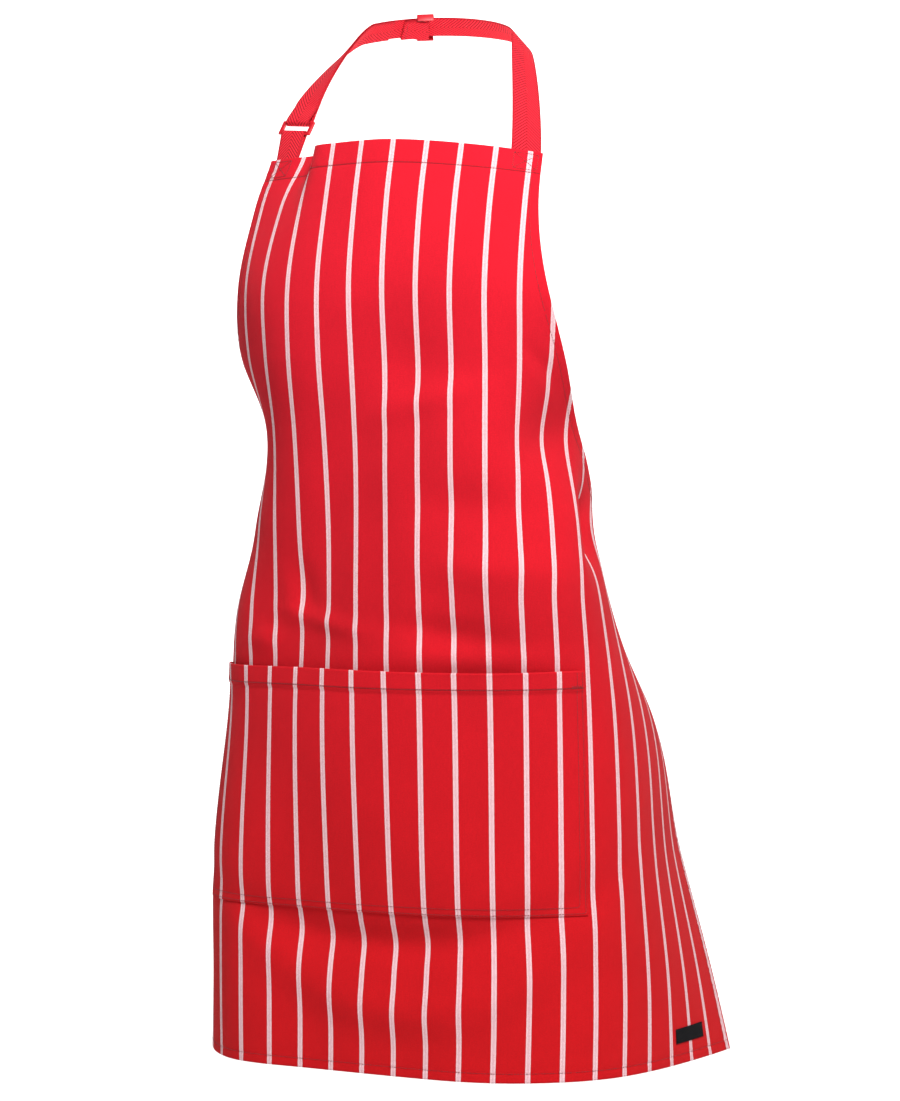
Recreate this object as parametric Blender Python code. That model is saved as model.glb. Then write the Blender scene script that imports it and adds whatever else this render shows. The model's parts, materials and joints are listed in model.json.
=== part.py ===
"""Butcher apron: a striped bib apron with a front pocket, an adjustable neck strap and waist ties.

The apron is modelled as worn: the cloth wraps round a standing body, the neck strap passes behind the
nape, and the ties are done up in a bow at the small of the back. The wearer faces -Y, +X is the wearer's
left and +Z is up. The origin is where the strap's inner face rests on the nape. Metres.
"""

import math

import bpy
import numpy as np

# Cut of the cloth: u runs across it from the centre front, v runs down it from the bib's top edge.
APRON_HALF_WIDTH = 0.430
APRON_LENGTH = 0.925
BIB_HALF_WIDTH = 0.165
ARMHOLE_TOP = 0.020
TIE_CORNER = 0.400
HEM_WIDTH = 0.010
BIB_HEM_WIDTH = 0.025
POCKET_HALF_WIDTH = 0.214
POCKET_TOP = 0.5255
POCKET_BOTTOM = 0.765
POCKET_HEM_WIDTH = 0.018
POCKET_BULGE = 0.012

# Layers are offsets from the panel's outer face; inner layers have negative offsets.
CLOTH = 0.0010
LAYER_GAP = 0.0003
SEWN_GAP = 0.0009
THREAD = 0.0006
THREAD_WIDTH = 0.0012
LABEL = 0.0006
HEM_OUTER = -CLOTH - LAYER_GAP
HEM_INNER = HEM_OUTER - CLOTH

# Tape of the neck strap and of the ties.
TAPE = 0.0012
TAPE_WIDTH = 0.030
TIE_WIDTH = 0.025
SEWN_LENGTH = 0.024
STRAP_U = 0.149
TAB_U = 0.145
TAPE_OFFSET = HEM_INNER - SEWN_GAP - TAPE / 2
DOUBLED_OFFSET = TAPE + 0.0005

# The neck ring is the strap's arc round the back of the neck. It is a cone about one axis, so the
# slider travels along it.
NECK_RADIUS = 0.094
NECK_PITCH = math.radians(20.5)
NECK_ROLL = math.radians(9)
NECK_CONE = math.radians(40)
NECK_CENTRE = np.array([-0.007, -0.003, 0.492])
LEFT_SHOULDER = 60
RIGHT_SHOULDER = -72
SLIDER_ANGLE = -32
SLIDER_TRAVEL_FORWARD = 8
SHOULDER_EASE = 0.060

# Slider: outer bars behind the strap, one bar in front of it that holds the strap's end.
SLIDER_LENGTH = 0.018
SLIDER_WALL = 0.0018
SLIDER_CLEARANCE = 0.0006
SLIDER_BAR = 0.0024
SLIDER_END_BAR = 0.0025
SLIDER_MID_BAR = 0.0040
LOOP_TAIL = 0.016

# Rectangular ring between the strap and the bib.
RING_WALL = 0.0045
RING_SIDE_CLEARANCE = 0.0008
RING_WINDOW = 0.0106
RING_BAR = 0.0028
RING_THICKNESS = 0.0026
RING_HEIGHT = 0.035
RING_LEAN = (0.16, 0.47, 0.87)
RING_BREADTH = (0.975, -0.18, -0.20)
RING_TAB_CLEARANCE = 0.0007
RING_SWING_CLEARANCE = 0.0014
FOLD_RETURN = 0.012
FOLD_EASE = 0.024
TWIST_DELAY = 1.6

# The wearer's left shoulder hangs lower, which drops that corner of the bib.
BIB_CORNER_DROP = 0.016
BIB_DROP_DEPTH = 0.260
RIGHT_CORNER_DROP = 0.006
RIGHT_DROP_DEPTH = 0.120
RIGHT_DROP_EDGES = (-0.075, -0.105)
WAIST_LEVEL = -0.012
WAIST_V = 0.390

# Waist ties and their bow.
TIE_V = 0.420
TIE_OFFSET = TAPE_OFFSET - 0.0008
KNOT_SIZE = (0.026, 0.020, 0.024)
KNOT_SETBACK = 0.012
BOW_LENGTH = 0.095
BOW_DROOP = math.radians(24)
TAIL_LENGTH = 0.430
TAIL_SPREAD = 0.030

# Labels, as (u low, u high, v low, v high).
SKIRT_LABEL = (0.331, 0.381, 0.891, 0.905)
CARE_LABEL = (0.378, 0.412, 0.600, 0.645)

# The worn shape is a loft of level sections. Each is a chain of tangent arcs, given by the direction of
# the cloth, in degrees from +X, at these distances across the cut.
STATIONS = (-0.430, -0.330, -0.260, -0.215, -0.180, -0.150, -0.110, -0.060, 0.0,
            0.060, 0.110, 0.150, 0.190, 0.230, 0.270, 0.330, 0.430)

# Distance down the cut, Y of the centre front, directions at the stations.
SECTIONS = (
    (0.000, -0.132, (-100, -80, -60, -42, -28, -16, -30, -18, 6, 20, 26, 34, 44, 56, 66, 80, 100)),
    (0.060, -0.146, (-104, -86, -68, -52, -36, -22, -26, -10, 6, 18, 24, 30, 44, 58, 70, 84, 104)),
    (0.150, -0.156, (-120, -100, -80, -62, -46, -34, -16, 2, 12, 11, 18, 28, 44, 60, 72, 88, 110)),
    (0.210, -0.153, (-130, -112, -90, -72, -52, -34, -22, 6, 14, 8, 14, 38, 58, 70, 80, 96, 120)),
    (0.290, -0.146, (-150, -128, -104, -84, -72, -58, -28, 6, 2, 2, 22, 56, 72, 82, 96, 116, 142)),
    (0.390, -0.143, (-158, -130, -104, -84, -64, -44, -18, 4, -10, 10, 18, 42, 52, 84, 108, 130, 158)),
    (0.470, -0.145, (-146, -122, -100, -78, -44, -14, -8, -10, -4, 16, 20, 38, 48, 76, 98, 122, 150)),
    (0.570, -0.145, (-128, -108, -88, -60, -34, -18, -12, -8, 4, 20, 24, 36, 44, 62, 84, 100, 124)),
    (0.730, -0.138, (-106, -94, -78, -51, -27, -8, 1, -2, 6, 12, 24, 34, 40, 56, 76, 92, 104)),
    (0.850, -0.130, (-96, -86, -72, -52, -30, -5, 7, 4, 6, 8, 18, 32, 40, 52, 68, 82, 92)),
    (0.930, -0.132, (-90, -82, -68, -49, -30, -7, 6, 3, 4, 6, 18, 30, 38, 52, 66, 74, 80)),
)
TABLE_U = np.linspace(-0.440, 0.440, 441)
TABLE_V = np.linspace(-0.010, 0.940, 191)


# ---------------------------------------------------------------- the worn surface

def between_sections(values, v):
    """Smooth value at distance v down the cut, from one value or row of values for each section."""
    knots = np.array([section[0] for section in SECTIONS])
    slopes = np.gradient(values, knots, axis=0)
    k = int(np.clip(np.searchsorted(knots, v) - 1, 0, len(knots) - 2))
    h = knots[k + 1] - knots[k]
    t = (v - knots[k]) / h
    return ((1 + 2 * t) * (1 - t) ** 2 * values[k] + t * (1 - t) ** 2 * h * slopes[k]
            + t * t * (3 - 2 * t) * values[k + 1] + t * t * (t - 1) * h * slopes[k + 1])


def right_drop(u, v):
    """How far the bib hangs lower at the wearer's right, where the ring holds it."""
    inner, outer = RIGHT_DROP_EDGES
    t = np.clip((u - inner) / (outer - inner), 0, 1)
    fade = np.clip(1 - v / RIGHT_DROP_DEPTH, 0, 1) ** 1.5
    return RIGHT_CORNER_DROP * fade * t * t * (3 - 2 * t)


def build_tables():
    """Positions and outward normals of the worn cloth over TABLE_V and TABLE_U."""
    centre_y = np.array([section[1] for section in SECTIONS])
    directions = np.array([section[2] for section in SECTIONS], float)
    inside = np.clip(TABLE_V, 0, APRON_LENGTH)
    y_centre = np.array([between_sections(centre_y, v) for v in inside])
    fall = np.sqrt(np.diff(TABLE_V) ** 2 - np.diff(y_centre) ** 2)
    height = -np.concatenate([[0.0], np.cumsum(fall)])
    height += WAIST_LEVEL - np.interp(WAIST_V, TABLE_V, height)

    points = np.zeros((len(TABLE_V), len(TABLE_U), 3))
    centre = len(TABLE_U) // 2
    step = TABLE_U[1] - TABLE_U[0]
    for row, v in enumerate(inside):
        angle = np.radians(np.interp(TABLE_U, STATIONS, between_sections(directions, v)))
        for axis, part in enumerate((np.cos(angle), np.sin(angle))):
            run = np.concatenate([[0.0], np.cumsum((part[1:] + part[:-1]) / 2 * step)])
            points[row, :, axis] = run - run[centre]
        fade = max(0.0, 1 - v / BIB_DROP_DEPTH) ** 1.5
        drop = BIB_CORNER_DROP * fade * (np.clip(TABLE_U, 0, BIB_HALF_WIDTH) / BIB_HALF_WIDTH) ** 1.4
        points[row, :, 1] += y_centre[row]
        points[row, :, 2] = height[row] - drop - right_drop(TABLE_U, v)
    across = np.gradient(points, axis=1)
    down = np.gradient(points, axis=0)
    normals = np.cross(down, across)
    normals *= -1 if normals[len(TABLE_V) // 2, centre, 1] > 0 else 1
    normals /= np.linalg.norm(normals, axis=2, keepdims=True)
    return points, normals


def look_up(table, u, v):
    """Values of a table at arrays of u and v, linear between its entries."""
    col = np.clip((np.asarray(u) - TABLE_U[0]) / (TABLE_U[1] - TABLE_U[0]), 0, len(TABLE_U) - 1.001)
    row = np.clip((np.asarray(v) - TABLE_V[0]) / (TABLE_V[1] - TABLE_V[0]), 0, len(TABLE_V) - 1.001)
    c, r = col.astype(int), row.astype(int)
    s, t = (col - c)[..., None], (row - r)[..., None]
    upper = table[r, c] * (1 - s) + table[r, c + 1] * s
    lower = table[r + 1, c] * (1 - s) + table[r + 1, c + 1] * s
    return upper * (1 - t) + lower * t


WORN_POINTS, WORN_NORMALS = build_tables()


def unit(vector):
    return vector / np.linalg.norm(vector)


# ---------------------------------------------------------------- the neck ring

def rotation(axis, angle):
    """Rotation matrix about X or Y."""
    c, s = math.cos(angle), math.sin(angle)
    if axis == "X":
        return np.array([[1, 0, 0], [0, c, -s], [0, s, c]])
    return np.array([[c, 0, s], [0, 1, 0], [-s, 0, c]])


NECK_FRAME = rotation("Y", NECK_ROLL) @ rotation("X", NECK_PITCH)


def neck_station(degrees, offset=0.0):
    """Point, width and normal of the strap's middle line on the neck ring.

    0 is the nape and positive angles go to the wearer's left. The width points to the neck-side edge
    and the normal away from the neck, which is also the way that offset moves the point.
    """
    a = math.radians(degrees)
    axis = NECK_FRAME[:, 2]
    radial = NECK_FRAME @ np.array([math.sin(a), math.cos(a), 0.0])
    width = math.cos(NECK_CONE) * axis - math.sin(NECK_CONE) * radial
    normal = math.cos(NECK_CONE) * radial + math.sin(NECK_CONE) * axis
    return NECK_CENTRE + NECK_RADIUS * radial + offset * normal, width, normal


def neck_heading(degrees):
    """Direction along the ring towards the wearer's right."""
    a = math.radians(degrees)
    return NECK_FRAME @ np.array([-math.cos(a), math.sin(a), 0.0])


ORIGIN = neck_station(0, -TAPE / 2)[0]


# ---------------------------------------------------------------- mesh tools

def principled(name, colour, roughness, metallic=0.0):
    material = bpy.data.materials.new(name)
    material.use_nodes = True
    shader = material.node_tree.nodes["Principled BSDF"]
    shader.inputs["Base Color"].default_value = (*colour, 1.0)
    shader.inputs["Roughness"].default_value = roughness
    shader.inputs["Metallic"].default_value = metallic
    return material


def add_object(name, points, faces, material, pivot=None):
    """Mesh object from points in the wearer's axes, with its own origin on pivot."""
    pivot = ORIGIN if pivot is None else pivot
    mesh = bpy.data.meshes.new(name)
    mesh.from_pydata([tuple(p) for p in np.asarray(points) - pivot], [], faces)
    mesh.materials.append(material)
    mesh.validate()
    thing = bpy.data.objects.new(name, mesh)
    thing.location = tuple(pivot - ORIGIN)
    bpy.context.scene.collection.objects.link(thing)
    return thing


def thicken(name, points, normals, faces, low, high, material, pivot=None):
    """Closed body between two offsets of a surface whose faces turn anticlockwise seen from outside."""
    count = len(points)
    both = np.concatenate([points + normals * low, points + normals * high])
    edges = {(face[k], face[(k + 1) % len(face)]) for face in faces for k in range(len(face))}
    solid = [face[::-1] for face in faces] + [tuple(count + k for k in face) for face in faces]
    for a, b in sorted(edges):
        if (b, a) not in edges:
            solid += [(count + b, count + a, a), (count + b, a, b)]
    return add_object(name, both, solid, material, pivot)


def slab(name, points, normals, low, high, material, pivot=None):
    """Sheet of cloth between two offsets from a grid of points, with rows down and columns across.

    Each cell is split along its shorter diagonal.
    """
    rows, cols = points.shape[:2]
    falling = np.linalg.norm(points[1:, 1:] - points[:-1, :-1], axis=2)
    rising = np.linalg.norm(points[:-1, 1:] - points[1:, :-1], axis=2)
    faces = []
    for r in range(rows - 1):
        for c in range(cols - 1):
            a, b = r * cols + c, r * cols + c + 1
            if falling[r, c] <= rising[r, c] + 1e-6:
                faces += [(a, b + cols, b), (a, a + cols, b + cols)]
            else:
                faces += [(a, a + cols, b), (b, a + cols, b + cols)]
    low = np.broadcast_to(low, (rows, cols)).reshape(-1, 1)
    high = np.broadcast_to(high, (rows, cols)).reshape(-1, 1)
    return thicken(name, points.reshape(-1, 3), normals.reshape(-1, 3), faces, low, high, material,
                   pivot)


def ribbon(name, stations, width, thickness, material, pivot=None):
    """Flat tape along stations of (point, width direction, normal)."""
    points = np.array([[p + w * width * side for side in (-0.5, 0.5)] for p, w, _ in stations])
    normals = np.array([[n, n] for _, _, n in stations])
    start, end = stations[0], stations[1]
    if np.dot(np.cross(end[0] - start[0], start[1]), start[2]) < 0:
        points, normals = points[:, ::-1], normals[:, ::-1]
    return slab(name, points, normals, -thickness / 2, thickness / 2, material, pivot)


def from_cells(name, frame, breaks, filled, material, pivot):
    """Closed body of the filled cells of a grid of boxes, in a frame of (centre, three axes)."""
    centre, axes = frame
    points, faces, index = [], [], {}

    def corner(key):
        if key not in index:
            index[key] = len(points)
            points.append(centre + sum(axes[k] * breaks[k][key[k]] for k in range(3)))
        return index[key]

    for cell in sorted(filled):
        for axis in range(3):
            for step in (0, 1):
                neighbour = list(cell)
                neighbour[axis] += 2 * step - 1
                if tuple(neighbour) in filled:
                    continue
                face = []
                for p, q in ((0, 0), (1, 0), (1, 1), (0, 1)):
                    key = list(cell)
                    key[axis] += step
                    key[(axis + 1) % 3] += p
                    key[(axis + 2) % 3] += q
                    face.append(corner(tuple(key)))
                faces.append(tuple(face) if step else tuple(face[::-1]))
    if np.dot(np.cross(axes[0], axes[1]), axes[2]) < 0:
        faces = [face[::-1] for face in faces]
    return add_object(name, points, faces, material, pivot)


def hermite(start, start_slope, end, end_slope, count):
    """Points on a cubic from start to end, both included."""
    points = []
    for t in np.linspace(0, 1, count):
        points.append((1 + 2 * t) * (1 - t) ** 2 * start + t * (1 - t) ** 2 * start_slope
                      + t * t * (3 - 2 * t) * end + t * t * (t - 1) * end_slope)
    return points


def dress(points, first_width, last_width, delay=1.0):
    """Stations along points, with the width turning evenly from one direction to the other."""
    stations = []
    for k, point in enumerate(points):
        before, after = points[max(k - 1, 0)], points[min(k + 1, len(points) - 1)]
        heading = unit(after - before)
        t = (k / (len(points) - 1)) ** delay
        width = first_width * (1 - t) + last_width * t
        width = unit(width - heading * np.dot(width, heading))
        stations.append((point, width, np.cross(heading, width)))
    return stations


# ---------------------------------------------------------------- the panel's grid

def armhole(degrees):
    """Edge and hem line of the left armhole, a quarter ellipse from the bib's side to the tie corner."""
    a = math.radians(degrees)
    across, down = APRON_HALF_WIDTH - BIB_HALF_WIDTH, TIE_CORNER - ARMHOLE_TOP
    edge = np.array([APRON_HALF_WIDTH - across * math.cos(a), ARMHOLE_TOP + down * math.sin(a)])
    inward = unit(np.array([-down * math.cos(a), across * math.sin(a)]))
    return edge, edge + HEM_WIDTH * inward


ARMHOLE_STEPS = (10, 20, 30, 40, 50, 60, 70, 76, 81, 85.5)


def panel_rows():
    """Edge point and hem-line point of each grid row on the wearer's left."""
    rows = [((BIB_HALF_WIDTH, v), (BIB_HALF_WIDTH - HEM_WIDTH, v)) for v in (0.0, BIB_HEM_WIDTH)]
    rows += [armhole(degrees) for degrees in ARMHOLE_STEPS]
    inner = APRON_HALF_WIDTH - HEM_WIDTH
    rows.append(((APRON_HALF_WIDTH, TIE_CORNER), (inner, TIE_CORNER + HEM_WIDTH)))
    levels = list(np.linspace(TIE_CORNER + HEM_WIDTH, POCKET_TOP, 5)[1:])
    levels += list(np.linspace(POCKET_TOP + POCKET_HEM_WIDTH, POCKET_BOTTOM, 8))
    levels += list(np.linspace(POCKET_BOTTOM, APRON_LENGTH - HEM_WIDTH, 6)[1:])
    levels.append(APRON_LENGTH)
    rows += [((APRON_HALF_WIDTH, v), (inner, v)) for v in levels]
    return rows


def panel_grid():
    """u and v of the panel's grid, with the hem's columns at both sides."""
    inner = APRON_HALF_WIDTH - HEM_WIDTH
    side = np.linspace(POCKET_HALF_WIDTH, inner, 9)[1:] / inner
    middle = np.linspace(-POCKET_HALF_WIDTH, POCKET_HALF_WIDTH, 17) / inner
    fractions = np.concatenate([-side[::-1], middle, side])
    u_rows, v_rows = [], []
    for edge, hem in panel_rows():
        u_rows.append(np.concatenate([[-edge[0]], fractions * hem[0], [edge[0]]]))
        v_rows.append(np.concatenate([[edge[1]], np.full(len(fractions), hem[1]), [edge[1]]]))
    return np.array(u_rows), np.array(v_rows)


GRID_U, GRID_V = panel_grid()
GRID_POINTS = look_up(WORN_POINTS, GRID_U, GRID_V)
GRID_NORMALS = look_up(WORN_NORMALS, GRID_U, GRID_V)
ROW_BIB_HEM = 1
ROW_CORNER = 12
ROW_POCKET_TOP = 16
ROW_POCKET_HEM = 17
ROW_POCKET_BOTTOM = 24
ROW_BOTTOM_HEM = 29
COLUMN_POCKET = 9
LAST_ROW, LAST_COLUMN = GRID_U.shape[0] - 1, GRID_U.shape[1] - 1
TRIM = 0.03


def grid_part(rows, cols, trim_rows=(0, 0), trim_cols=(0, 0)):
    """Points and normals of part of the panel's grid, with its ends drawn in by fractions of a cell."""
    parts = []
    for table in (GRID_POINTS, GRID_NORMALS):
        part = table[rows[0]:rows[1] + 1, cols[0]:cols[1] + 1].copy()
        part[0] += trim_rows[0] * (part[1] - part[0])
        part[-1] += trim_rows[1] * (part[-2] - part[-1])
        part[:, 0] += trim_cols[0] * (part[:, 1] - part[:, 0])
        part[:, -1] += trim_cols[1] * (part[:, -2] - part[:, -1])
        parts.append(part)
    return parts


def make_panel(cloth):
    points, normals = grid_part((0, LAST_ROW), (0, LAST_COLUMN))
    slab("body_panel", points, normals, -CLOTH, 0.0, cloth)


def make_hems(cloth):
    """The turned edges: a second layer of cloth inside the panel."""
    strips = (
        ("bib_top_hem", (0, ROW_BIB_HEM), (0, LAST_COLUMN), (0, 0), (0, 0)),
        ("armhole_hem_right", (ROW_BIB_HEM, ROW_CORNER), (0, 1), (TRIM, TRIM), (0, 0)),
        ("armhole_hem_left", (ROW_BIB_HEM, ROW_CORNER), (LAST_COLUMN - 1, LAST_COLUMN),
         (TRIM, TRIM), (0, 0)),
        ("side_hem_right", (ROW_CORNER, LAST_ROW), (0, 1), (TRIM, 0), (0, 0)),
        ("side_hem_left", (ROW_CORNER, LAST_ROW), (LAST_COLUMN - 1, LAST_COLUMN), (TRIM, 0), (0, 0)),
        ("bottom_hem", (ROW_BOTTOM_HEM, LAST_ROW), (1, LAST_COLUMN - 1), (0, 0), (TRIM, TRIM)),
    )
    for name, rows, cols, trim_rows, trim_cols in strips:
        points, normals = grid_part(rows, cols, trim_rows, trim_cols)
        slab(name, points, normals, HEM_INNER, HEM_OUTER, cloth)


# ---------------------------------------------------------------- pocket

def pocket_gap(u, v):
    """Gap between the panel and the pocket's inner face: open at the mouth, sewn down elsewhere."""
    across = np.clip(np.abs(u) / POCKET_HALF_WIDTH, 0, 1)
    down = np.clip((v - POCKET_TOP) / (POCKET_BOTTOM - POCKET_TOP), 0, 1)
    hem_room = np.where(v <= POCKET_TOP + POCKET_HEM_WIDTH + 0.001, CLOTH + LAYER_GAP, 0.0)
    return LAYER_GAP + hem_room + POCKET_BULGE * (1 - across ** 4) * (1 - down ** 2)


def make_pocket(cloth):
    cols = (COLUMN_POCKET, LAST_COLUMN - COLUMN_POCKET)
    rows = (ROW_POCKET_TOP, ROW_POCKET_BOTTOM)
    for name, last_row, inner, outer in (("pocket_panel", rows[1], 0.0, CLOTH),
                                         ("pocket_mouth_hem", ROW_POCKET_HEM,
                                          -LAYER_GAP - CLOTH, -LAYER_GAP)):
        points, normals = grid_part((rows[0], last_row), cols)
        span = (slice(rows[0], last_row + 1), slice(cols[0], cols[1] + 1))
        gap = pocket_gap(GRID_U[span], GRID_V[span])
        slab(name, points, normals, gap + inner, gap + outer, cloth)


# ---------------------------------------------------------------- sewn details

def patch(name, corners, low, high, material, counts=(5, 3)):
    """Thin piece on the worn surface between (u low, u high, v low, v high)."""
    u, v = np.meshgrid(np.linspace(corners[0], corners[1], counts[0]),
                       np.linspace(corners[2], corners[3], counts[1]))
    return slab(name, look_up(WORN_POINTS, u, v), look_up(WORN_NORMALS, u, v), low, high, material)


def box_stitch(name, u_mid, v_mid, half_u, half_v, material):
    """The square of stitches with a cross in it that holds a strap's end, as one raised plate.

    Four triangular windows leave the square's sides and the cross.
    """
    corners = [np.array(c, float) for c in ((-1, 1), (-1, -1), (1, -1), (1, 1))]
    thin = THREAD_WIDTH / min(half_u, half_v)
    outline, starts, ends, tips = corners, [], [], []
    for k in range(4):
        here, after = corners[k], corners[(k + 1) % 4]
        side, outward = (after - here) / 2, (after + here) / 2
        edge = outward * (1 - thin)
        starts.append(edge - side * (1 - 2 * thin))
        ends.append(edge + side * (1 - 2 * thin))
        tips.append(outward * thin)
    faces = [(12, 13, 14, 15)]
    for k in range(4):
        after, before = (k + 1) % 4, (k - 1) % 4
        faces += [(k, after, 8 + k, 4 + k), (k, 4 + k, 8 + before),
                  (4 + k, 12 + k, 12 + before, 8 + before)]
    flat = np.array(outline + starts + ends + tips)
    u, v = u_mid + flat[:, 0] * half_u, v_mid - flat[:, 1] * half_v
    thicken(name, look_up(WORN_POINTS, u, v), look_up(WORN_NORMALS, u, v), faces, SEWN_GAP,
            SEWN_GAP + THREAD, material)


def make_stitches(thread):
    """Box stitches at the strap, the ring's tab and the ties, and bar tacks at the pocket's mouth."""
    half = TAPE_WIDTH / 2 - 0.003
    for name, place in (("strap_box_stitch", STRAP_U), ("tab_box_stitch", -TAB_U)):
        box_stitch(name, place, SEWN_LENGTH / 2, half, SEWN_LENGTH / 2 - 0.003, thread)
    for name, side in (("tie_box_stitch_left", 1), ("tie_box_stitch_right", -1)):
        u = side * (APRON_HALF_WIDTH - SEWN_LENGTH / 2 - 0.001)
        box_stitch(name, u, TIE_V, SEWN_LENGTH / 2 - 0.003, TIE_WIDTH / 2 - 0.003, thread)
    for name, side in (("pocket_bartack_left", 1), ("pocket_bartack_right", -1)):
        ends = sorted((side * (POCKET_HALF_WIDTH - 0.014), side * (POCKET_HALF_WIDTH - 0.002)))
        corners = (ends[0], ends[1], POCKET_TOP + 0.0145, POCKET_TOP + 0.0175)
        lift = pocket_gap(np.linspace(ends[0], ends[1], 5), np.full(5, POCKET_TOP)) + CLOTH + SEWN_GAP
        patch(name, corners, lift, lift + THREAD, thread)


def make_labels(black, white):
    patch("skirt_label", SKIRT_LABEL, SEWN_GAP, SEWN_GAP + LABEL, black)
    patch("care_label", CARE_LABEL, -CLOTH - SEWN_GAP - LABEL, -CLOTH - SEWN_GAP, white)


# ---------------------------------------------------------------- neck strap

def bib_station(u, v, depth):
    """Station of a tape sewn inside the bib, running up the cloth."""
    point = look_up(WORN_POINTS, u, v) + look_up(WORN_NORMALS, u, v) * depth
    across = unit(look_up(WORN_POINTS, u + 0.002, v) - look_up(WORN_POINTS, u - 0.002, v))
    width = -across if u > 0 else across
    return point, width, look_up(WORN_NORMALS, u, v)


def ring_frame():
    """Centre of the ring's lower bar, then its up, width and normal directions."""
    base, _, _ = bib_station(-TAB_U, 0.0, TAPE_OFFSET)
    up = unit(np.array(RING_LEAN))
    width = unit(RING_BREADTH - up * np.dot(RING_BREADTH, up))
    return base + up * RING_HEIGHT, up, width, np.cross(-up, width)


RING_LOW, RING_UP, RING_ACROSS, RING_NORMAL = ring_frame()
RING_HIGH = RING_LOW + RING_UP * (RING_WINDOW + RING_BAR)
FOLD_RADIUS = RING_THICKNESS / 2 + RING_SWING_CLEARANCE + TAPE / 2
TAB_RADIUS = RING_THICKNESS / 2 + RING_TAB_CLEARANCE + TAPE / 2


def fold_side(side, heights):
    """Points of the strap's fold beside the ring's upper bar, at heights above that bar."""
    settled = 0.0 if side > 0 else -DOUBLED_OFFSET
    points = []
    for height in heights:
        t = min(1.0, height / FOLD_EASE)
        ease = t * t * (3 - 2 * t)
        points.append(RING_HIGH + RING_UP * height
                      + RING_NORMAL * (side * FOLD_RADIUS * (1 - ease) + settled * ease))
    return points


def descent_stations():
    """Stations of the strap from the wearer's right shoulder down to the fold."""
    start, width, _ = neck_station(RIGHT_SHOULDER)
    top = fold_side(1, [FOLD_EASE])[0]
    path = hermite(start, neck_heading(RIGHT_SHOULDER) * SHOULDER_EASE, top, -RING_UP * 0.09, 14)
    return dress(path, width, RING_ACROSS, TWIST_DELAY)


def make_neck_strap(tape):
    sewn = [bib_station(STRAP_U, v, TAPE_OFFSET) for v in (SEWN_LENGTH, SEWN_LENGTH / 2, 0.0)]
    shoulder, shoulder_width, _ = neck_station(LEFT_SHOULDER)
    base = sewn[-1][0]
    climb = unit(sewn[-1][0] - sewn[-2][0]) * 0.5 + unit(shoulder - base) * 0.5
    rise = hermite(base, climb * np.linalg.norm(shoulder - base), shoulder,
                   neck_heading(LEFT_SHOULDER) * SHOULDER_EASE, 16)
    stations = sewn[:-1] + dress(rise, sewn[-1][1], shoulder_width)[:-1]
    stations += [neck_station(a) for a in np.arange(LEFT_SHOULDER, RIGHT_SHOULDER - 1, -4)]
    stations += descent_stations()[1:]
    fold = fold_side(1, np.linspace(FOLD_EASE, 0, 7)[1:])
    for degrees in range(30, 180, 30):
        a = math.radians(degrees)
        fold.append(RING_HIGH + (RING_NORMAL * math.cos(a) - RING_UP * math.sin(a)) * FOLD_RADIUS)
    fold += fold_side(-1, np.linspace(0, FOLD_RETURN, 4))
    stations += [(point, RING_ACROSS, None) for point in fold]
    ribbon("neck_strap", dress_planar(stations), TAPE_WIDTH, TAPE, tape)


def make_strap_return(tape):
    """The strap's second layer, between the slider and the ring, on the neck side of the first."""
    first = SLIDER_ANGLE - math.degrees((SLIDER_LENGTH / 2 + LOOP_TAIL) / NECK_RADIUS)
    first -= SLIDER_TRAVEL_FORWARD
    stations = [neck_station(a, -DOUBLED_OFFSET) for a in np.linspace(first, RIGHT_SHOULDER, 7)]
    stations += [(p - n * DOUBLED_OFFSET, w, n) for p, w, n in descent_stations()[1:]]
    fold = fold_side(-1, np.linspace(FOLD_EASE, FOLD_RETURN + 2 * LAYER_GAP, 4))
    stations += [(point, RING_ACROSS, None) for point in fold[1:]]
    ribbon("neck_strap_return", dress_planar(stations), TAPE_WIDTH, TAPE, tape)


# ---------------------------------------------------------------- slider and ring

SLIDER_POINT, SLIDER_WIDTH, SLIDER_NORMAL = neck_station(SLIDER_ANGLE)
SLIDER_HEADING = neck_heading(SLIDER_ANGLE)
SLIDER_FRAME = (SLIDER_POINT, (SLIDER_HEADING, SLIDER_WIDTH, SLIDER_NORMAL))
TAPE_ROOM = TAPE / 2 + SLIDER_CLEARANCE
LOOP_CENTRE = TAPE_ROOM + TAPE + LAYER_GAP + SLIDER_BAR / 2


def make_slider(plastic):
    """Frame that the strap runs straight through, with its mid bar on the neck side of the strap."""
    half, mid = SLIDER_LENGTH / 2, SLIDER_MID_BAR / 2
    inner = TAPE_WIDTH / 2 + SLIDER_CLEARANCE
    wall = inner + SLIDER_WALL
    breaks = ((-half, -half + SLIDER_END_BAR, -mid, mid, half - SLIDER_END_BAR, half),
              (-wall, -inner, inner, wall),
              (-LOOP_CENTRE - SLIDER_BAR / 2, -LOOP_CENTRE + SLIDER_BAR / 2, TAPE_ROOM,
               TAPE_ROOM + SLIDER_BAR))
    walls = {(x, y, z) for x in range(5) for y in (0, 2) for z in range(3)}
    bars = {(2, 1, 0), (0, 1, 2), (4, 1, 2)}
    from_cells("strap_slider", SLIDER_FRAME, breaks, walls | bars, plastic, NECK_CENTRE)


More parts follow.
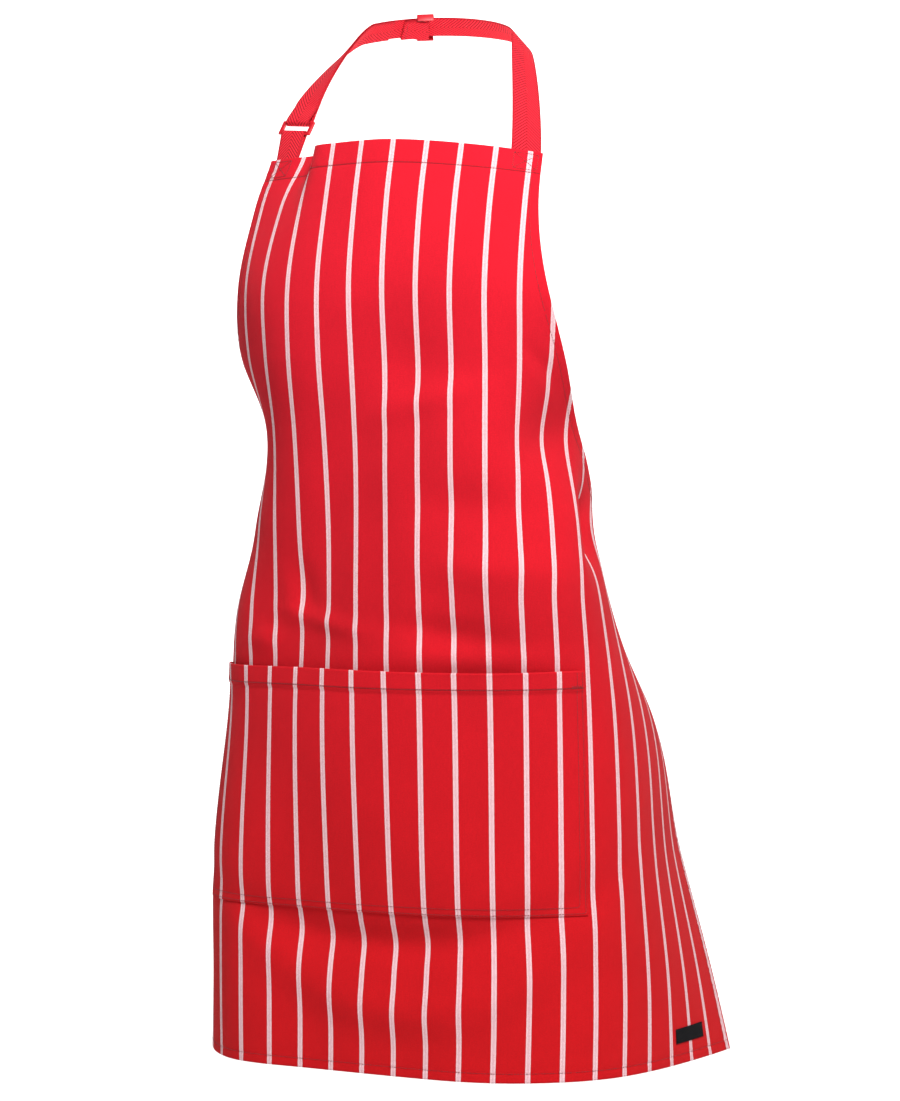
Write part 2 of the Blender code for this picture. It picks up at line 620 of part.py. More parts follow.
def make_end_loop(tape):
    """The strap's end, folded round the slider's mid bar and sewn to itself."""
    around = SLIDER_MID_BAR / 2 + 2 * LAYER_GAP + TAPE / 2
    deep = SLIDER_BAR / 2 + LAYER_GAP + TAPE / 2
    tail = SLIDER_LENGTH / 2 + LOOP_TAIL
    close = deep - TAPE - LAYER_GAP
    profile = [(tail, deep), (tail / 2, deep), (0.0, deep)]
    for degrees in range(75, -90, -25):
        a = math.radians(degrees)
        profile.append((-around * math.sqrt(math.cos(a)),
                        math.copysign(deep * math.sqrt(abs(math.sin(a))), a)))
    profile += [(0.0, -deep), (around, -deep), (tail / 2, close), (tail, close)]
    stations = []
    for along, depth in profile:
        angle = SLIDER_ANGLE - math.degrees(along / NECK_RADIUS)
        stations.append(neck_station(angle, depth - LOOP_CENTRE))
    ribbon("strap_end_loop", dress_planar(stations), TAPE_WIDTH - 0.001, TAPE, tape, NECK_CENTRE)


def dress_planar(stations):
    """Stations with the same points and widths, and the normals square to their path."""
    result = []
    for k, (point, width, _) in enumerate(stations):
        before = stations[max(k - 1, 0)][0]
        after = stations[min(k + 1, len(stations) - 1)][0]
        result.append((point, width, unit(np.cross(after - before, width))))
    return result


def make_ring(plastic):
    """Rectangular ring that swings about its lower bar in the tab."""
    inner = TAPE_WIDTH / 2 + RING_SIDE_CLEARANCE
    wall = inner + RING_WALL
    frame = (RING_LOW, (RING_ACROSS, RING_UP, RING_NORMAL))
    bar = RING_BAR / 2
    breaks = ((-wall, -inner, inner, wall),
              (-bar, bar, bar + RING_WINDOW, 3 * bar + RING_WINDOW),
              (-RING_THICKNESS / 2, RING_THICKNESS / 2))
    filled = {(x, y, 0) for x in range(3) for y in range(3)} - {(1, 1, 0)}
    from_cells("strap_ring", frame, breaks, filled, plastic, RING_LOW)


def make_tab(tape):
    """Tape folded round the ring's lower bar and sewn inside the bib's corner."""
    outer = [bib_station(-TAB_U, v, TAPE_OFFSET) for v in (SEWN_LENGTH, SEWN_LENGTH / 2, 0.0)]
    inner = [bib_station(-TAB_U, v, TAPE_OFFSET - DOUBLED_OFFSET)
             for v in (0.0, SEWN_LENGTH / 2, SEWN_LENGTH)]
    stations = list(outer)
    count = 4
    for k in range(1, count + 1):
        t = k / count
        point = outer[-1][0] * (1 - t) + (RING_LOW + RING_NORMAL * TAB_RADIUS) * t
        stations.append((point, unit(outer[-1][1] * (1 - t) + RING_ACROSS * t), None))
    for degrees in range(30, 180, 30):
        a = math.radians(degrees)
        normal = RING_NORMAL * math.cos(a) + RING_UP * math.sin(a)
        stations.append((RING_LOW + normal * TAB_RADIUS, RING_ACROSS, None))
    for k in range(count):
        t = k / count
        point = (RING_LOW - RING_NORMAL * TAB_RADIUS) * (1 - t) + inner[0][0] * t
        stations.append((point, unit(RING_ACROSS * (1 - t) + inner[0][1] * t), None))
    stations += inner
    ribbon("ring_tab", dress_planar(stations), TAPE_WIDTH, TAPE, tape)


# ---------------------------------------------------------------- waist ties

def knot_centre():
    corners = [look_up(WORN_POINTS, side * APRON_HALF_WIDTH, TIE_V) for side in (-1, 1)]
    return sum(corners) / 2 + np.array([0, KNOT_SETBACK, -0.004])


def make_knot(tape):
    """Rounded knot of the two ties."""
    centre = knot_centre()
    points, faces = [], []
    rings, sides = 7, 14
    for r in range(1, rings):
        tilt = math.pi * r / rings - math.pi / 2
        for s in range(sides):
            turn = 2 * math.pi * s / sides
            ball = np.array([math.cos(tilt) * math.cos(turn), math.cos(tilt) * math.sin(turn),
                             math.sin(tilt)])
            ball = np.sign(ball) * np.abs(ball) ** 0.75
            points.append(centre + ball * np.array(KNOT_SIZE) / 2)
    poles = [centre + np.array([0, 0, side * KNOT_SIZE[2] / 2]) for side in (-1, 1)]
    low, high = len(points), len(points) + 1
    for r in range(rings - 2):
        for s in range(sides):
            a, b = r * sides + s, r * sides + (s + 1) % sides
            faces.append((a, b, b + sides, a + sides))
    for s in range(sides):
        a, b = s, (s + 1) % sides
        faces.append((b, a, low))
        faces.append((a + (rings - 2) * sides, b + (rings - 2) * sides, high))
    add_object("waist_knot", points + poles, faces, tape)


def make_tie(side, word, tape):
    """One waist tie: the run from the apron's corner, its loop of the bow, and its hanging tail."""
    centre = knot_centre()
    half_knot = KNOT_SIZE[0] / 2 + 0.002
    up = np.array([0.0, 0.0, 1.0])
    sewn = []
    for u in np.linspace(APRON_HALF_WIDTH - SEWN_LENGTH, APRON_HALF_WIDTH + 0.001, 4):
        normal = look_up(WORN_NORMALS, side * u, TIE_V)
        point = look_up(WORN_POINTS, side * u, TIE_V) + normal * TIE_OFFSET
        climb = unit(look_up(WORN_POINTS, side * u, TIE_V - 0.005)
                     - look_up(WORN_POINTS, side * u, TIE_V + 0.005))
        sewn.append((point, climb, normal))
    start = sewn[-1][0]
    heading = unit(start - sewn[-2][0])
    end = centre + np.array([side * half_knot, 0, 0])
    reach = np.linalg.norm(end - start)
    run = hermite(start, heading * reach, end, np.array([-side * reach, 0, 0]), 8)
    stations = sewn[:-1] + dress(run, sewn[-1][1], up)
    ribbon("waist_tie_" + word, dress_planar(stations), TIE_WIDTH, TAPE, tape)

    out = np.array([side * math.cos(BOW_DROOP), 0, -math.sin(BOW_DROOP)])
    back = np.array([0, 1, 0])
    loop_width = np.array([side * math.sin(BOW_DROOP), 0, math.cos(BOW_DROOP)])
    profile = [(0.0, 0.010), (0.3, 0.016), (0.6, 0.018), (0.85, 0.016), (0.96, 0.012), (1.0, 0.008),
               (0.96, 0.004), (0.85, 0.001), (0.6, 0.0), (0.3, 0.0), (0.0, 0.004)]
    loop = [centre + out * (half_knot + t * BOW_LENGTH) + back * (depth + 0.001) for t, depth in profile]
    ribbon("waist_bow_" + word, dress(loop, loop_width, loop_width), TIE_WIDTH, TAPE, tape)

    start = centre + np.array([side * (TIE_WIDTH / 2 + 0.001), -0.005, -KNOT_SIZE[2] / 2 - 0.003])
    finish = start + np.array([side * TAIL_SPREAD, -0.004, -TAIL_LENGTH])
    tail = hermite(start, np.array([0, -0.01, -TAIL_LENGTH * 0.8]), finish,
                   np.array([side * TAIL_SPREAD, 0.02, -TAIL_LENGTH]), 12)
    across = np.array([side, 0, 0])
    ribbon("waist_tail_" + word, dress(tail, across, across), TIE_WIDTH, TAPE, tape)


# ---------------------------------------------------------------- the whole apron

def main():
    for thing in list(bpy.data.objects):
        bpy.data.objects.remove(thing)
    cloth = principled("red_twill", (0.62, 0.012, 0.020), 0.85)
    tape = principled("red_tape", (0.66, 0.014, 0.022), 0.80)
    thread = principled("red_thread", (0.45, 0.010, 0.015), 0.70)
    hardware = principled("red_hardware", (0.60, 0.015, 0.020), 0.35)
    black = principled("black_label", (0.012, 0.010, 0.012), 0.75)
    white = principled("white_label", (0.85, 0.85, 0.83), 0.70)
    make_panel(cloth)
    make_hems(cloth)
    make_pocket(cloth)
    make_stitches(thread)
    make_labels(black, white)
    make_neck_strap(tape)
    make_strap_return(tape)
    make_slider(hardware)
    make_end_loop(tape)
    make_ring(hardware)
    make_tab(tape)
    make_knot(tape)
    for side, word in ((1, "left"), (-1, "right")):
        make_tie(side, word, tape)


main()
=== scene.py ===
"""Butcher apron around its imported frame: striped twill, herringbone tape, moulded fittings and seams.

The cloth is drawn on its flat cut, where u runs across from the centre front and v runs down from the
bib's top edge, and then laid on the worn surface. Positions are worked out in the wearer's axes (X to
the wearer's left, -Y to the front, Z up) and moved by ORIGIN into the frame. Metres.
"""

import json
import math

import bmesh
import bpy
import numpy as np
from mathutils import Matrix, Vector


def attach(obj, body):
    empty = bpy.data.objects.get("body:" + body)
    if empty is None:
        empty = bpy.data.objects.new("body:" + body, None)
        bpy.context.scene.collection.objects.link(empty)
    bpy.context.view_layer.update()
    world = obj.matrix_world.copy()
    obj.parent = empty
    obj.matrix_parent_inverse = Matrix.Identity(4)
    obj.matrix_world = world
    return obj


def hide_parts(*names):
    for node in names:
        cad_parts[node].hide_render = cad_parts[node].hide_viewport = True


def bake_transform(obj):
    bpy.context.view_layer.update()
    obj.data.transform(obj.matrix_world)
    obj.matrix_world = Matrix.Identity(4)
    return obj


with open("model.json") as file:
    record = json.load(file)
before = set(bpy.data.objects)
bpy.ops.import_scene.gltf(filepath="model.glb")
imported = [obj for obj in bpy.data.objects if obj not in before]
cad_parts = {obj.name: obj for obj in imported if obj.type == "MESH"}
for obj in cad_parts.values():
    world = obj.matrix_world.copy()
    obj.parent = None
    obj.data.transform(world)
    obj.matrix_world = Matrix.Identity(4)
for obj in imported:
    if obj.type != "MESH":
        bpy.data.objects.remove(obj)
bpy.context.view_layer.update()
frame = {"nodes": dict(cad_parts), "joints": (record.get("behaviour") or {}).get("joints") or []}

# Cut of the cloth.
APRON_HALF_WIDTH = 0.430
APRON_LENGTH = 0.925
BIB_HALF_WIDTH = 0.165
ARMHOLE_TOP = 0.020
TIE_CORNER = 0.400
ARMHOLE_ACROSS = APRON_HALF_WIDTH - BIB_HALF_WIDTH
ARMHOLE_DOWN = TIE_CORNER - ARMHOLE_TOP
HEM_WIDTH = 0.010
BIB_HEM_WIDTH = 0.025
POCKET_HALF_WIDTH = 0.214
POCKET_TOP = 0.5255
POCKET_BOTTOM = 0.765
POCKET_HEM_WIDTH = 0.018
POCKET_BULGE = 0.006

# Layers, as offsets from the panel's outer face.
CLOTH = 0.0010
LAYER_GAP = 0.0003
SEWN_GAP = 0.0009
HEM_OUTER = -CLOTH - LAYER_GAP
HEM_INNER = HEM_OUTER - CLOTH
LABEL = 0.0006

# Tape of the neck strap and of the ties.
TAPE = 0.0012
TAPE_WIDTH = 0.030
TIE_WIDTH = 0.025
SEWN_LENGTH = 0.024
STRAP_U = 0.149
TAB_U = 0.145
TAPE_OFFSET = HEM_INNER - SEWN_GAP - TAPE / 2
DOUBLED_OFFSET = TAPE + 0.0005

# Neck arc, ring and slider, where the CAD has them.
NECK_RADIUS = 0.094
NECK_PITCH = math.radians(20.5)
NECK_ROLL = math.radians(9)
NECK_CONE = math.radians(40)
NECK_CENTRE = np.array([-0.007, -0.003, 0.492])
LEFT_SHOULDER = 60
RIGHT_SHOULDER = -72
SHOULDER_EASE = 0.060
SLIDER_ANGLE = -32
SLIDER_TRAVEL_FORWARD = 8
SLIDER_LENGTH = 0.018
SLIDER_CLEARANCE = 0.0006
SLIDER_BAR = 0.0024
SLIDER_MID_BAR = 0.0040
LOOP_TAIL = 0.016
RING_WINDOW = 0.0106
RING_BAR = 0.0028
RING_THICKNESS = 0.0026
RING_LEAN = (0.16, 0.47, 0.87)
RING_TAB_CLEARANCE = 0.0007
RING_SWING_CLEARANCE = 0.0014
FOLD_RETURN = 0.012
FOLD_EASE = 0.024
TWIST_DELAY = 1.6

# Drop of the bib's left corner, and the waist's level.
BIB_CORNER_DROP = 0.016
BIB_DROP_DEPTH = 0.260
RIGHT_CORNER_DROP = 0.006
RIGHT_DROP_DEPTH = 0.120
RIGHT_DROP_EDGES = (-0.075, -0.105)
WAIST_LEVEL = -0.012
WAIST_V = 0.390

# Waist ties.
TIE_V = 0.420
TIE_OFFSET = TAPE_OFFSET - 0.0008
KNOT_SIZE = (0.026, 0.020, 0.024)
KNOT_SETBACK = 0.012
BOW_LENGTH = 0.095
BOW_DROOP = math.radians(24)
TAIL_LENGTH = 0.430
TAIL_SPREAD = 0.030

# Labels: from and to across the cut, then from and to down it.
SKIRT_LABEL = (0.331, 0.381, 0.891, 0.905)
CARE_LABEL = (0.378, 0.412, 0.600, 0.645)
SIDES = ((1, "left"), (-1, "right"))

# Level sections of the worn cloth: its direction, in degrees from +X, at distances across the cut.
STATIONS = (-0.430, -0.330, -0.260, -0.215, -0.180, -0.150, -0.110, -0.060, 0.0,
            0.060, 0.110, 0.150, 0.190, 0.230, 0.270, 0.330, 0.430)

# Distance down the cut, Y of the centre front, directions at the stations.
SECTIONS = (
    (0.000, -0.132, (-100, -80, -60, -42, -28, -16, -30, -18, 6, 20, 26, 34, 44, 56, 66, 80, 100)),
    (0.060, -0.146, (-104, -86, -68, -52, -36, -22, -26, -10, 6, 18, 24, 30, 44, 58, 70, 84, 104)),
    (0.150, -0.156, (-120, -100, -80, -62, -46, -34, -16, 2, 12, 11, 18, 28, 44, 60, 72, 88, 110)),
    (0.210, -0.153, (-130, -112, -90, -72, -52, -34, -22, 6, 14, 8, 14, 38, 58, 70, 80, 96, 120)),
    (0.290, -0.146, (-150, -128, -104, -84, -72, -58, -28, 6, 2, 2, 22, 56, 72, 82, 96, 116, 142)),
    (0.390, -0.143, (-158, -130, -104, -84, -64, -44, -18, 4, -10, 10, 18, 42, 52, 84, 108, 130, 158)),
    (0.470, -0.145, (-146, -122, -100, -78, -44, -14, -8, -10, -4, 16, 20, 38, 48, 76, 98, 122, 150)),
    (0.570, -0.145, (-128, -108, -88, -60, -34, -18, -12, -8, 4, 20, 24, 36, 44, 62, 84, 100, 124)),
    (0.730, -0.138, (-106, -94, -78, -51, -27, -8, 1, -2, 6, 12, 24, 34, 40, 56, 76, 92, 104)),
    (0.850, -0.130, (-96, -86, -72, -52, -30, -5, 7, 4, 6, 8, 18, 32, 40, 52, 68, 82, 92)),
    (0.930, -0.132, (-90, -82, -68, -49, -30, -7, 6, 3, 4, 6, 18, 30, 38, 52, 66, 74, 80)),
)
TABLE_U = np.linspace(-0.440, 0.440, 353)
TABLE_V = np.linspace(-0.010, 0.940, 381)

# Folds that turn the cloth: centre u and v, half widths in u and v, turn in degrees.
TURNS = (
    (-0.087, -0.004, 0.011, 0.042, -56),
    (-0.122, -0.004, 0.016, 0.042, 24),
    (-0.058, -0.004, 0.014, 0.042, 12),
    (0.240, 0.385, 0.013, 0.036, 58),
    (0.276, 0.385, 0.018, 0.036, -40),
    (0.090, 0.450, 0.030, 0.040, -8),
    (-0.150, 0.370, 0.040, 0.055, 6),
    (0.160, 0.300, 0.020, 0.032, 9),
    (0.215, 0.300, 0.020, 0.032, -9),
)

# Soft rises and hollows of the cloth: centre u and v, half widths in u and v, height, then the slant
# and the bow of the line that each one follows.
RISES = (
    (0.040, 0.150, 0.130, 0.045, 0.0020, 0.0, 0.0),
    (0.060, 0.230, 0.080, 0.024, -0.0022, 0.10, 0.0),
    (0.060, 0.262, 0.060, 0.014, 0.0030, -0.24, 0.0),
    (0.020, 0.320, 0.022, 0.070, 0.0030, 0.0, 0.0),
    (0.110, 0.366, 0.060, 0.024, -0.0048, 0.05, 0.0),
    (0.130, 0.426, 0.070, 0.020, 0.0048, 0.05, 0.0),
    (0.075, 0.488, 0.055, 0.014, -0.0036, 0.15, 0.0),
    (0.100, 0.512, 0.080, 0.010, 0.0022, 0.0, 0.0),
    (-0.080, 0.445, 0.014, 0.026, -0.0034, 0.5, 0.0),
    (-0.100, 0.455, 0.012, 0.024, 0.0022, 0.5, 0.0),
    (-0.060, 0.478, 0.050, 0.010, 0.0034, 0.2, 0.0),
    (-0.135, 0.498, 0.018, 0.012, 0.0036, 0.0, 0.0),
    (0.176, 0.226, 0.020, 0.012, -0.0022, 0.9, 0.0),
    (-0.020, 0.400, 0.020, 0.080, 0.0036, 0.0, 0.0),
    (0.010, 0.797, 0.170, 0.020, -0.0085, 0.0, 1.2),
    (0.030, 0.863, 0.140, 0.024, 0.0070, 0.0, 2.2),
)


# ---------------------------------------------------------------- the worn surface

def unit(vectors):
    vectors = np.asarray(vectors, float)
    return vectors / np.linalg.norm(vectors, axis=-1, keepdims=True)


def bell(distance, width):
    """Bump of height 1 at distance 0, which fades over a width."""
    return np.exp(-(distance / width) ** 2)


def ease(t):
    """Smooth step as t goes from 0 to 1."""
    return t * t * (3 - 2 * t)


def hermite_mix(t, start, start_slope, end, end_slope):
    return ((1 + 2 * t) * (1 - t) ** 2 * start + t * (1 - t) ** 2 * start_slope
            + ease(t) * end + t * t * (t - 1) * end_slope)


def between_sections(values, v):
    """Smooth values at distances v down the cut, from one row of values for each section."""
    knots = np.array([section[0] for section in SECTIONS])
    values = np.asarray(values, float).reshape(len(knots), -1)
    slopes = np.gradient(values, knots, axis=0)
    k = np.clip(np.searchsorted(knots, v) - 1, 0, len(knots) - 2)
    h = (knots[k + 1] - knots[k])[:, None]
    t = (v - knots[k])[:, None] / h
    return hermite_mix(t, values[k], h * slopes[k], values[k + 1], h * slopes[k + 1])


def surface_normals(points):
    normals = np.cross(np.gradient(points, axis=0), np.gradient(points, axis=1))
    if normals[points.shape[0] // 2, points.shape[1] // 2, 1] > 0:
        normals = -normals
    return unit(normals)


def right_drop(u, v):
    """How far the bib hangs lower at the wearer's right, where the ring holds it."""
    inner, outer = RIGHT_DROP_EDGES
    fade = np.clip(1 - v / RIGHT_DROP_DEPTH, 0, 1) ** 1.5
    return RIGHT_CORNER_DROP * fade * ease(np.clip((u - inner) / (outer - inner), 0, 1))


def build_tables():
    """Positions and outward normals of the worn cloth over TABLE_V and TABLE_U."""
    inside = np.clip(TABLE_V, 0, APRON_LENGTH)
    y_centre = between_sections([section[1] for section in SECTIONS], inside)[:, 0]
    directions = between_sections([section[2] for section in SECTIONS], inside)
    angle = np.array([np.interp(TABLE_U, STATIONS, row) for row in directions])
    grid_u, grid_v = np.meshgrid(TABLE_U, inside)
    for u0, v0, wide, deep, turn in TURNS:
        angle += turn * bell(grid_u - u0, wide) * bell(grid_v - v0, deep)
    angle = np.radians(angle)

    fall = np.sqrt(np.diff(TABLE_V) ** 2 - np.diff(y_centre) ** 2)
    height = -np.concatenate([[0.0], np.cumsum(fall)])
    height += WAIST_LEVEL - np.interp(WAIST_V, TABLE_V, height)
    fade = np.clip(1 - grid_v / BIB_DROP_DEPTH, 0, 1) ** 1.5
    drop = BIB_CORNER_DROP * fade * (np.clip(grid_u, 0, BIB_HALF_WIDTH) / BIB_HALF_WIDTH) ** 1.4

    step = TABLE_U[1] - TABLE_U[0]
    centre = len(TABLE_U) // 2
    points = np.zeros(grid_u.shape + (3,))
    for axis, slope in enumerate((np.cos(angle), np.sin(angle))):
        run = np.cumsum((slope[:, 1:] + slope[:, :-1]) / 2 * step, axis=1)
        run = np.concatenate([np.zeros((len(run), 1)), run], axis=1)
        points[..., axis] = run - run[:, centre:centre + 1]
    points[..., 1] += y_centre[:, None]
    points[..., 2] = height[:, None] - drop - right_drop(grid_u, grid_v)

    normals = surface_normals(points)
    rise = np.zeros(grid_u.shape)
    for u0, v0, wide, deep, tall, slant, bow in RISES:
        down = grid_v - v0 - slant * (grid_u - u0) + bow * (grid_u - u0) ** 2
        rise += tall * bell(grid_u - u0, wide) * bell(down, deep)
    points += normals * rise[..., None]
    return points, surface_normals(points)


def look_up(table, u, v):
    """Values of a table at arrays of u and v, linear between its entries."""
    u, v = np.broadcast_arrays(np.asarray(u, float), np.asarray(v, float))
    col = np.clip((u - TABLE_U[0]) / (TABLE_U[1] - TABLE_U[0]), 0, len(TABLE_U) - 1.001)
    row = np.clip((v - TABLE_V[0]) / (TABLE_V[1] - TABLE_V[0]), 0, len(TABLE_V) - 1.001)
    c, r = col.astype(int), row.astype(int)
    s, t = (col - c)[..., None], (row - r)[..., None]
    upper = table[r, c] * (1 - s) + table[r, c + 1] * s
    lower = table[r + 1, c] * (1 - s) + table[r + 1, c + 1] * s
    return upper * (1 - t) + lower * t


def distance_to_edge(u, v):
    """Distance from the cut's nearest hemmed edge at the sides and the bottom, armholes included."""
    across = (APRON_HALF_WIDTH - np.abs(u)) / ARMHOLE_ACROSS
    down = (v - ARMHOLE_TOP) / ARMHOLE_DOWN
    slope = 2 * np.sqrt((across / ARMHOLE_ACROSS) ** 2 + (down / ARMHOLE_DOWN) ** 2) + 1e-6
    hole = np.where(v > ARMHOLE_TOP, (across ** 2 + down ** 2 - 1) / slope, BIB_HALF_WIDTH - np.abs(u))
    side = np.where(v > TIE_CORNER, APRON_HALF_WIDTH - np.abs(u), hole)
    return np.minimum(side, APRON_LENGTH - v)


# Puckers beside the seams: height, then size, rate and start of each wave; and how deep stitches sink.
PUCKER_HEIGHT = 0.00045
PUCKERS = ((1.0, 760, 0.0), (0.7, 1130, 1.3), (0.5, 421, 0.4))
SEAM_DEPTH = 0.00035


def seam_relief(u, v):
    """Height of the puckers that the hems' stitching pulls into the cloth."""
    u, v = np.broadcast_arrays(np.asarray(u, float), np.asarray(v, float))
    along = u + v * np.sign(u)
    wave = sum(size * np.sin(along * rate + start) for size, rate, start in PUCKERS) / 2.2
    edge = distance_to_edge(u, v)
    hem = np.maximum(bell(edge - 0.006, 0.006), bell(v - 0.018, 0.010) * 0.5)
    seam = np.maximum(bell(edge - HEM_WIDTH + 0.0012, 0.0016), bell(v - BIB_HEM_WIDTH + 0.0015, 0.0016))
    return PUCKER_HEIGHT * wave * hem - SEAM_DEPTH * seam


WORN_POINTS, WORN_NORMALS = build_tables()


def worn(u, v):
    """Points and normals of the worn surface, as the CAD has it apart from the folds."""
    return look_up(WORN_POINTS, u, v), look_up(WORN_NORMALS, u, v)


def surface(u, v):
    """Points and normals of the panel's outer face, with the puckers along its seams."""
    points, normals = worn(u, v)
    normals = unit(normals)
    return points + normals * seam_relief(u, v)[..., None], normals


# ---------------------------------------------------------------- the neck ring

def rotation(axis, angle):
    c, s = math.cos(angle), math.sin(angle)
    if axis == "X":
        return np.array([[1, 0, 0], [0, c, -s], [0, s, c]])
    return np.array([[c, 0, s], [0, 1, 0], [-s, 0, c]])


NECK_FRAME = rotation("Y", NECK_ROLL) @ rotation("X", NECK_PITCH)


def neck_station(degrees, offset=0.0):
    """Point, width and normal of the strap's middle line; 0 is the nape and + the wearer's left."""
    a = math.radians(degrees)
    axis = NECK_FRAME[:, 2]
    radial = NECK_FRAME @ np.array([math.sin(a), math.cos(a), 0.0])
    width = math.cos(NECK_CONE) * axis - math.sin(NECK_CONE) * radial
    normal = math.cos(NECK_CONE) * radial + math.sin(NECK_CONE) * axis
    return NECK_CENTRE + NECK_RADIUS * radial + offset * normal, width, normal


def neck_heading(degrees):
    """Direction along the ring towards the wearer's right."""
    a = math.radians(degrees)
    return NECK_FRAME @ np.array([-math.cos(a), math.sin(a), 0.0])


ORIGIN = neck_station(0, -TAPE / 2)[0]


# ---------------------------------------------------------------- materials

CUT_MAP = "cut"


class Number:
    """A shader node's output, so that sums and products are written as usual."""

    def __init__(self, graph, socket):
        self.graph = graph
        self.socket = socket

    def __add__(self, other):
        return self.graph.math("ADD", self, other)

    def __sub__(self, other):
        return self.graph.math("SUBTRACT", self, other)

    def __mul__(self, other):
        return self.graph.math("MULTIPLY", self, other)

    def __truediv__(self, other):
        return self.graph.math("DIVIDE", self, other)

    def __abs__(self):
        return self.graph.math("ABSOLUTE", self)


class Graph:
    """Material whose nodes are made by short calls."""

    def __init__(self, name, roughness, specular, sheen=0.0):
        self.material = bpy.data.materials.new(name)
        self.material.use_nodes = True
        self.nodes = self.material.node_tree.nodes
        self.links = self.material.node_tree.links
        self.shader = self.nodes["Principled BSDF"]
        self.shader.inputs["Roughness"].default_value = roughness
        self.shader.inputs["Sheen Weight"].default_value = sheen
        self.shader.inputs["Sheen Roughness"].default_value = 0.5
        self.shader.inputs["Specular IOR Level"].default_value = specular

    def feed(self, value, socket):
        if isinstance(value, Number):
            self.links.new(value.socket, socket)
        else:
            socket.default_value = value

    def node(self, kind, inputs, output=0, **settings):
        """An output of a new node, whose inputs are fed by their place or name."""
        node = self.nodes.new("ShaderNode" + kind)
        for name, value in settings.items():
            setattr(node, name, value)
        for place, value in inputs.items():
            self.feed(value, node.inputs[place])
        return Number(self, node.outputs[output])

    def math(self, operation, *values):
        return self.node("Math", dict(enumerate(values)), operation=operation)

    def ramp(self, value, low, high, out_low=0.0, out_high=1.0):
        """Smooth step from out_low to out_high as value goes from low to high."""
        numbers = dict(enumerate((value, low, high, out_low, out_high)))
        return self.node("MapRange", numbers, interpolation_type="SMOOTHSTEP")

    def mix(self, factor, first, second):
        return self.node("Mix", {0: factor, 6: first, 7: second}, 2, data_type="RGBA")

    def shade(self, colour, factor):
        """A colour made darker or lighter by a factor."""
        return self.node("VectorMath", {0: colour, "Scale": factor}, operation="SCALE")

    def vector(self, x, y):
        return self.node("CombineXYZ", {0: x, 1: y})

    def noise(self, vector, scale, detail=2.0):
        return self.node("TexNoise", {"Vector": vector, "Scale": scale, "Detail": detail}, "Fac")

    def object_vector(self):
        return self.node("TexCoord", {}, "Object")

    def cut_millimetres(self):
        """The two coordinates of the flat cut, in millimetres."""
        cut = self.node("UVMap", {}, uv_map=CUT_MAP)
        return [self.node("SeparateXYZ", {0: cut}, k) * 1000.0 for k in (0, 1)]

    def wave(self, value, period):
        """Rounded ridges of a period: 0 in the grooves and 1 on the ridges."""
        return abs(self.math("SINE", value * (math.pi / period)))

    def bump(self, height, distance, strength):
        relief = self.node("Bump", {"Height": height, "Distance": distance, "Strength": strength})
        self.feed(relief, self.shader.inputs["Normal"])

    def colour(self, value):
        self.feed(value, self.shader.inputs["Base Color"])


# Painted light in the cloth's red: lighter and pinker at the top of the cut, where the key light and its
# sheen fall, and darker towards the bottom.
LIT_TOP_RED = (0.595, 0.0075, 0.0205, 1.0)
SHADED_BOTTOM_RED = (0.535, 0.0053, 0.0085, 1.0)
DEEP_RED = (0.530, 0.0045, 0.0090, 1.0)
TAPE_RED = (0.560, 0.0050, 0.0150, 1.0)
# Painted highlight: a lighter, pinker copy of the tape's red for the tops of its ribs.
TAPE_RIB_HIGHLIGHT = (0.740, 0.0150, 0.0330, 1.0)
WHITE = (0.90, 0.71, 0.75, 1.0)
WHITE_CORE = (0.76, 0.59, 0.63, 1.0)
STRIPE_SHADOW = (0.300, 0.0030, 0.0080, 1.0)
THREAD_REDS = ((0.10, 0.002, 0.005, 1.0), (0.26, 0.006, 0.014, 1.0))
PLASTIC_REDS = ((0.40, 0.005, 0.012, 1.0), (0.50, 0.008, 0.018, 1.0))
LABEL_BLACKS = ((0.003, 0.003, 0.004, 1.0), (0.014, 0.013, 0.015, 1.0))
LABEL_WHITES = ((0.74, 0.74, 0.72, 1.0), (0.92, 0.92, 0.90, 1.0))

# The weaves' sizes, in millimetres.
STRIPE_PITCH = 34.0
STRIPE_HALF = 2.55
STRIPE_SOFT = 0.12
TWILL_PITCH = 0.85
HERRINGBONE_PITCH = 4.2
HERRINGBONE_SLOPE = 1.15
TAPE_MARGIN = (12.9, 13.5)

# Distance from a hem's inner edge to its row of stitches.
SEAM_INSET = 0.0012

# Level and half length, in millimetres, of the rows of stitches that press the cloth into a shaded line.
PRESSED_SEAMS = ((1000 * (BIB_HEM_WIDTH - SEAM_INSET), 1000 * BIB_HALF_WIDTH),
                 (1000 * (POCKET_TOP + POCKET_HEM_WIDTH - SEAM_INSET), 1000 * POCKET_HALF_WIDTH))


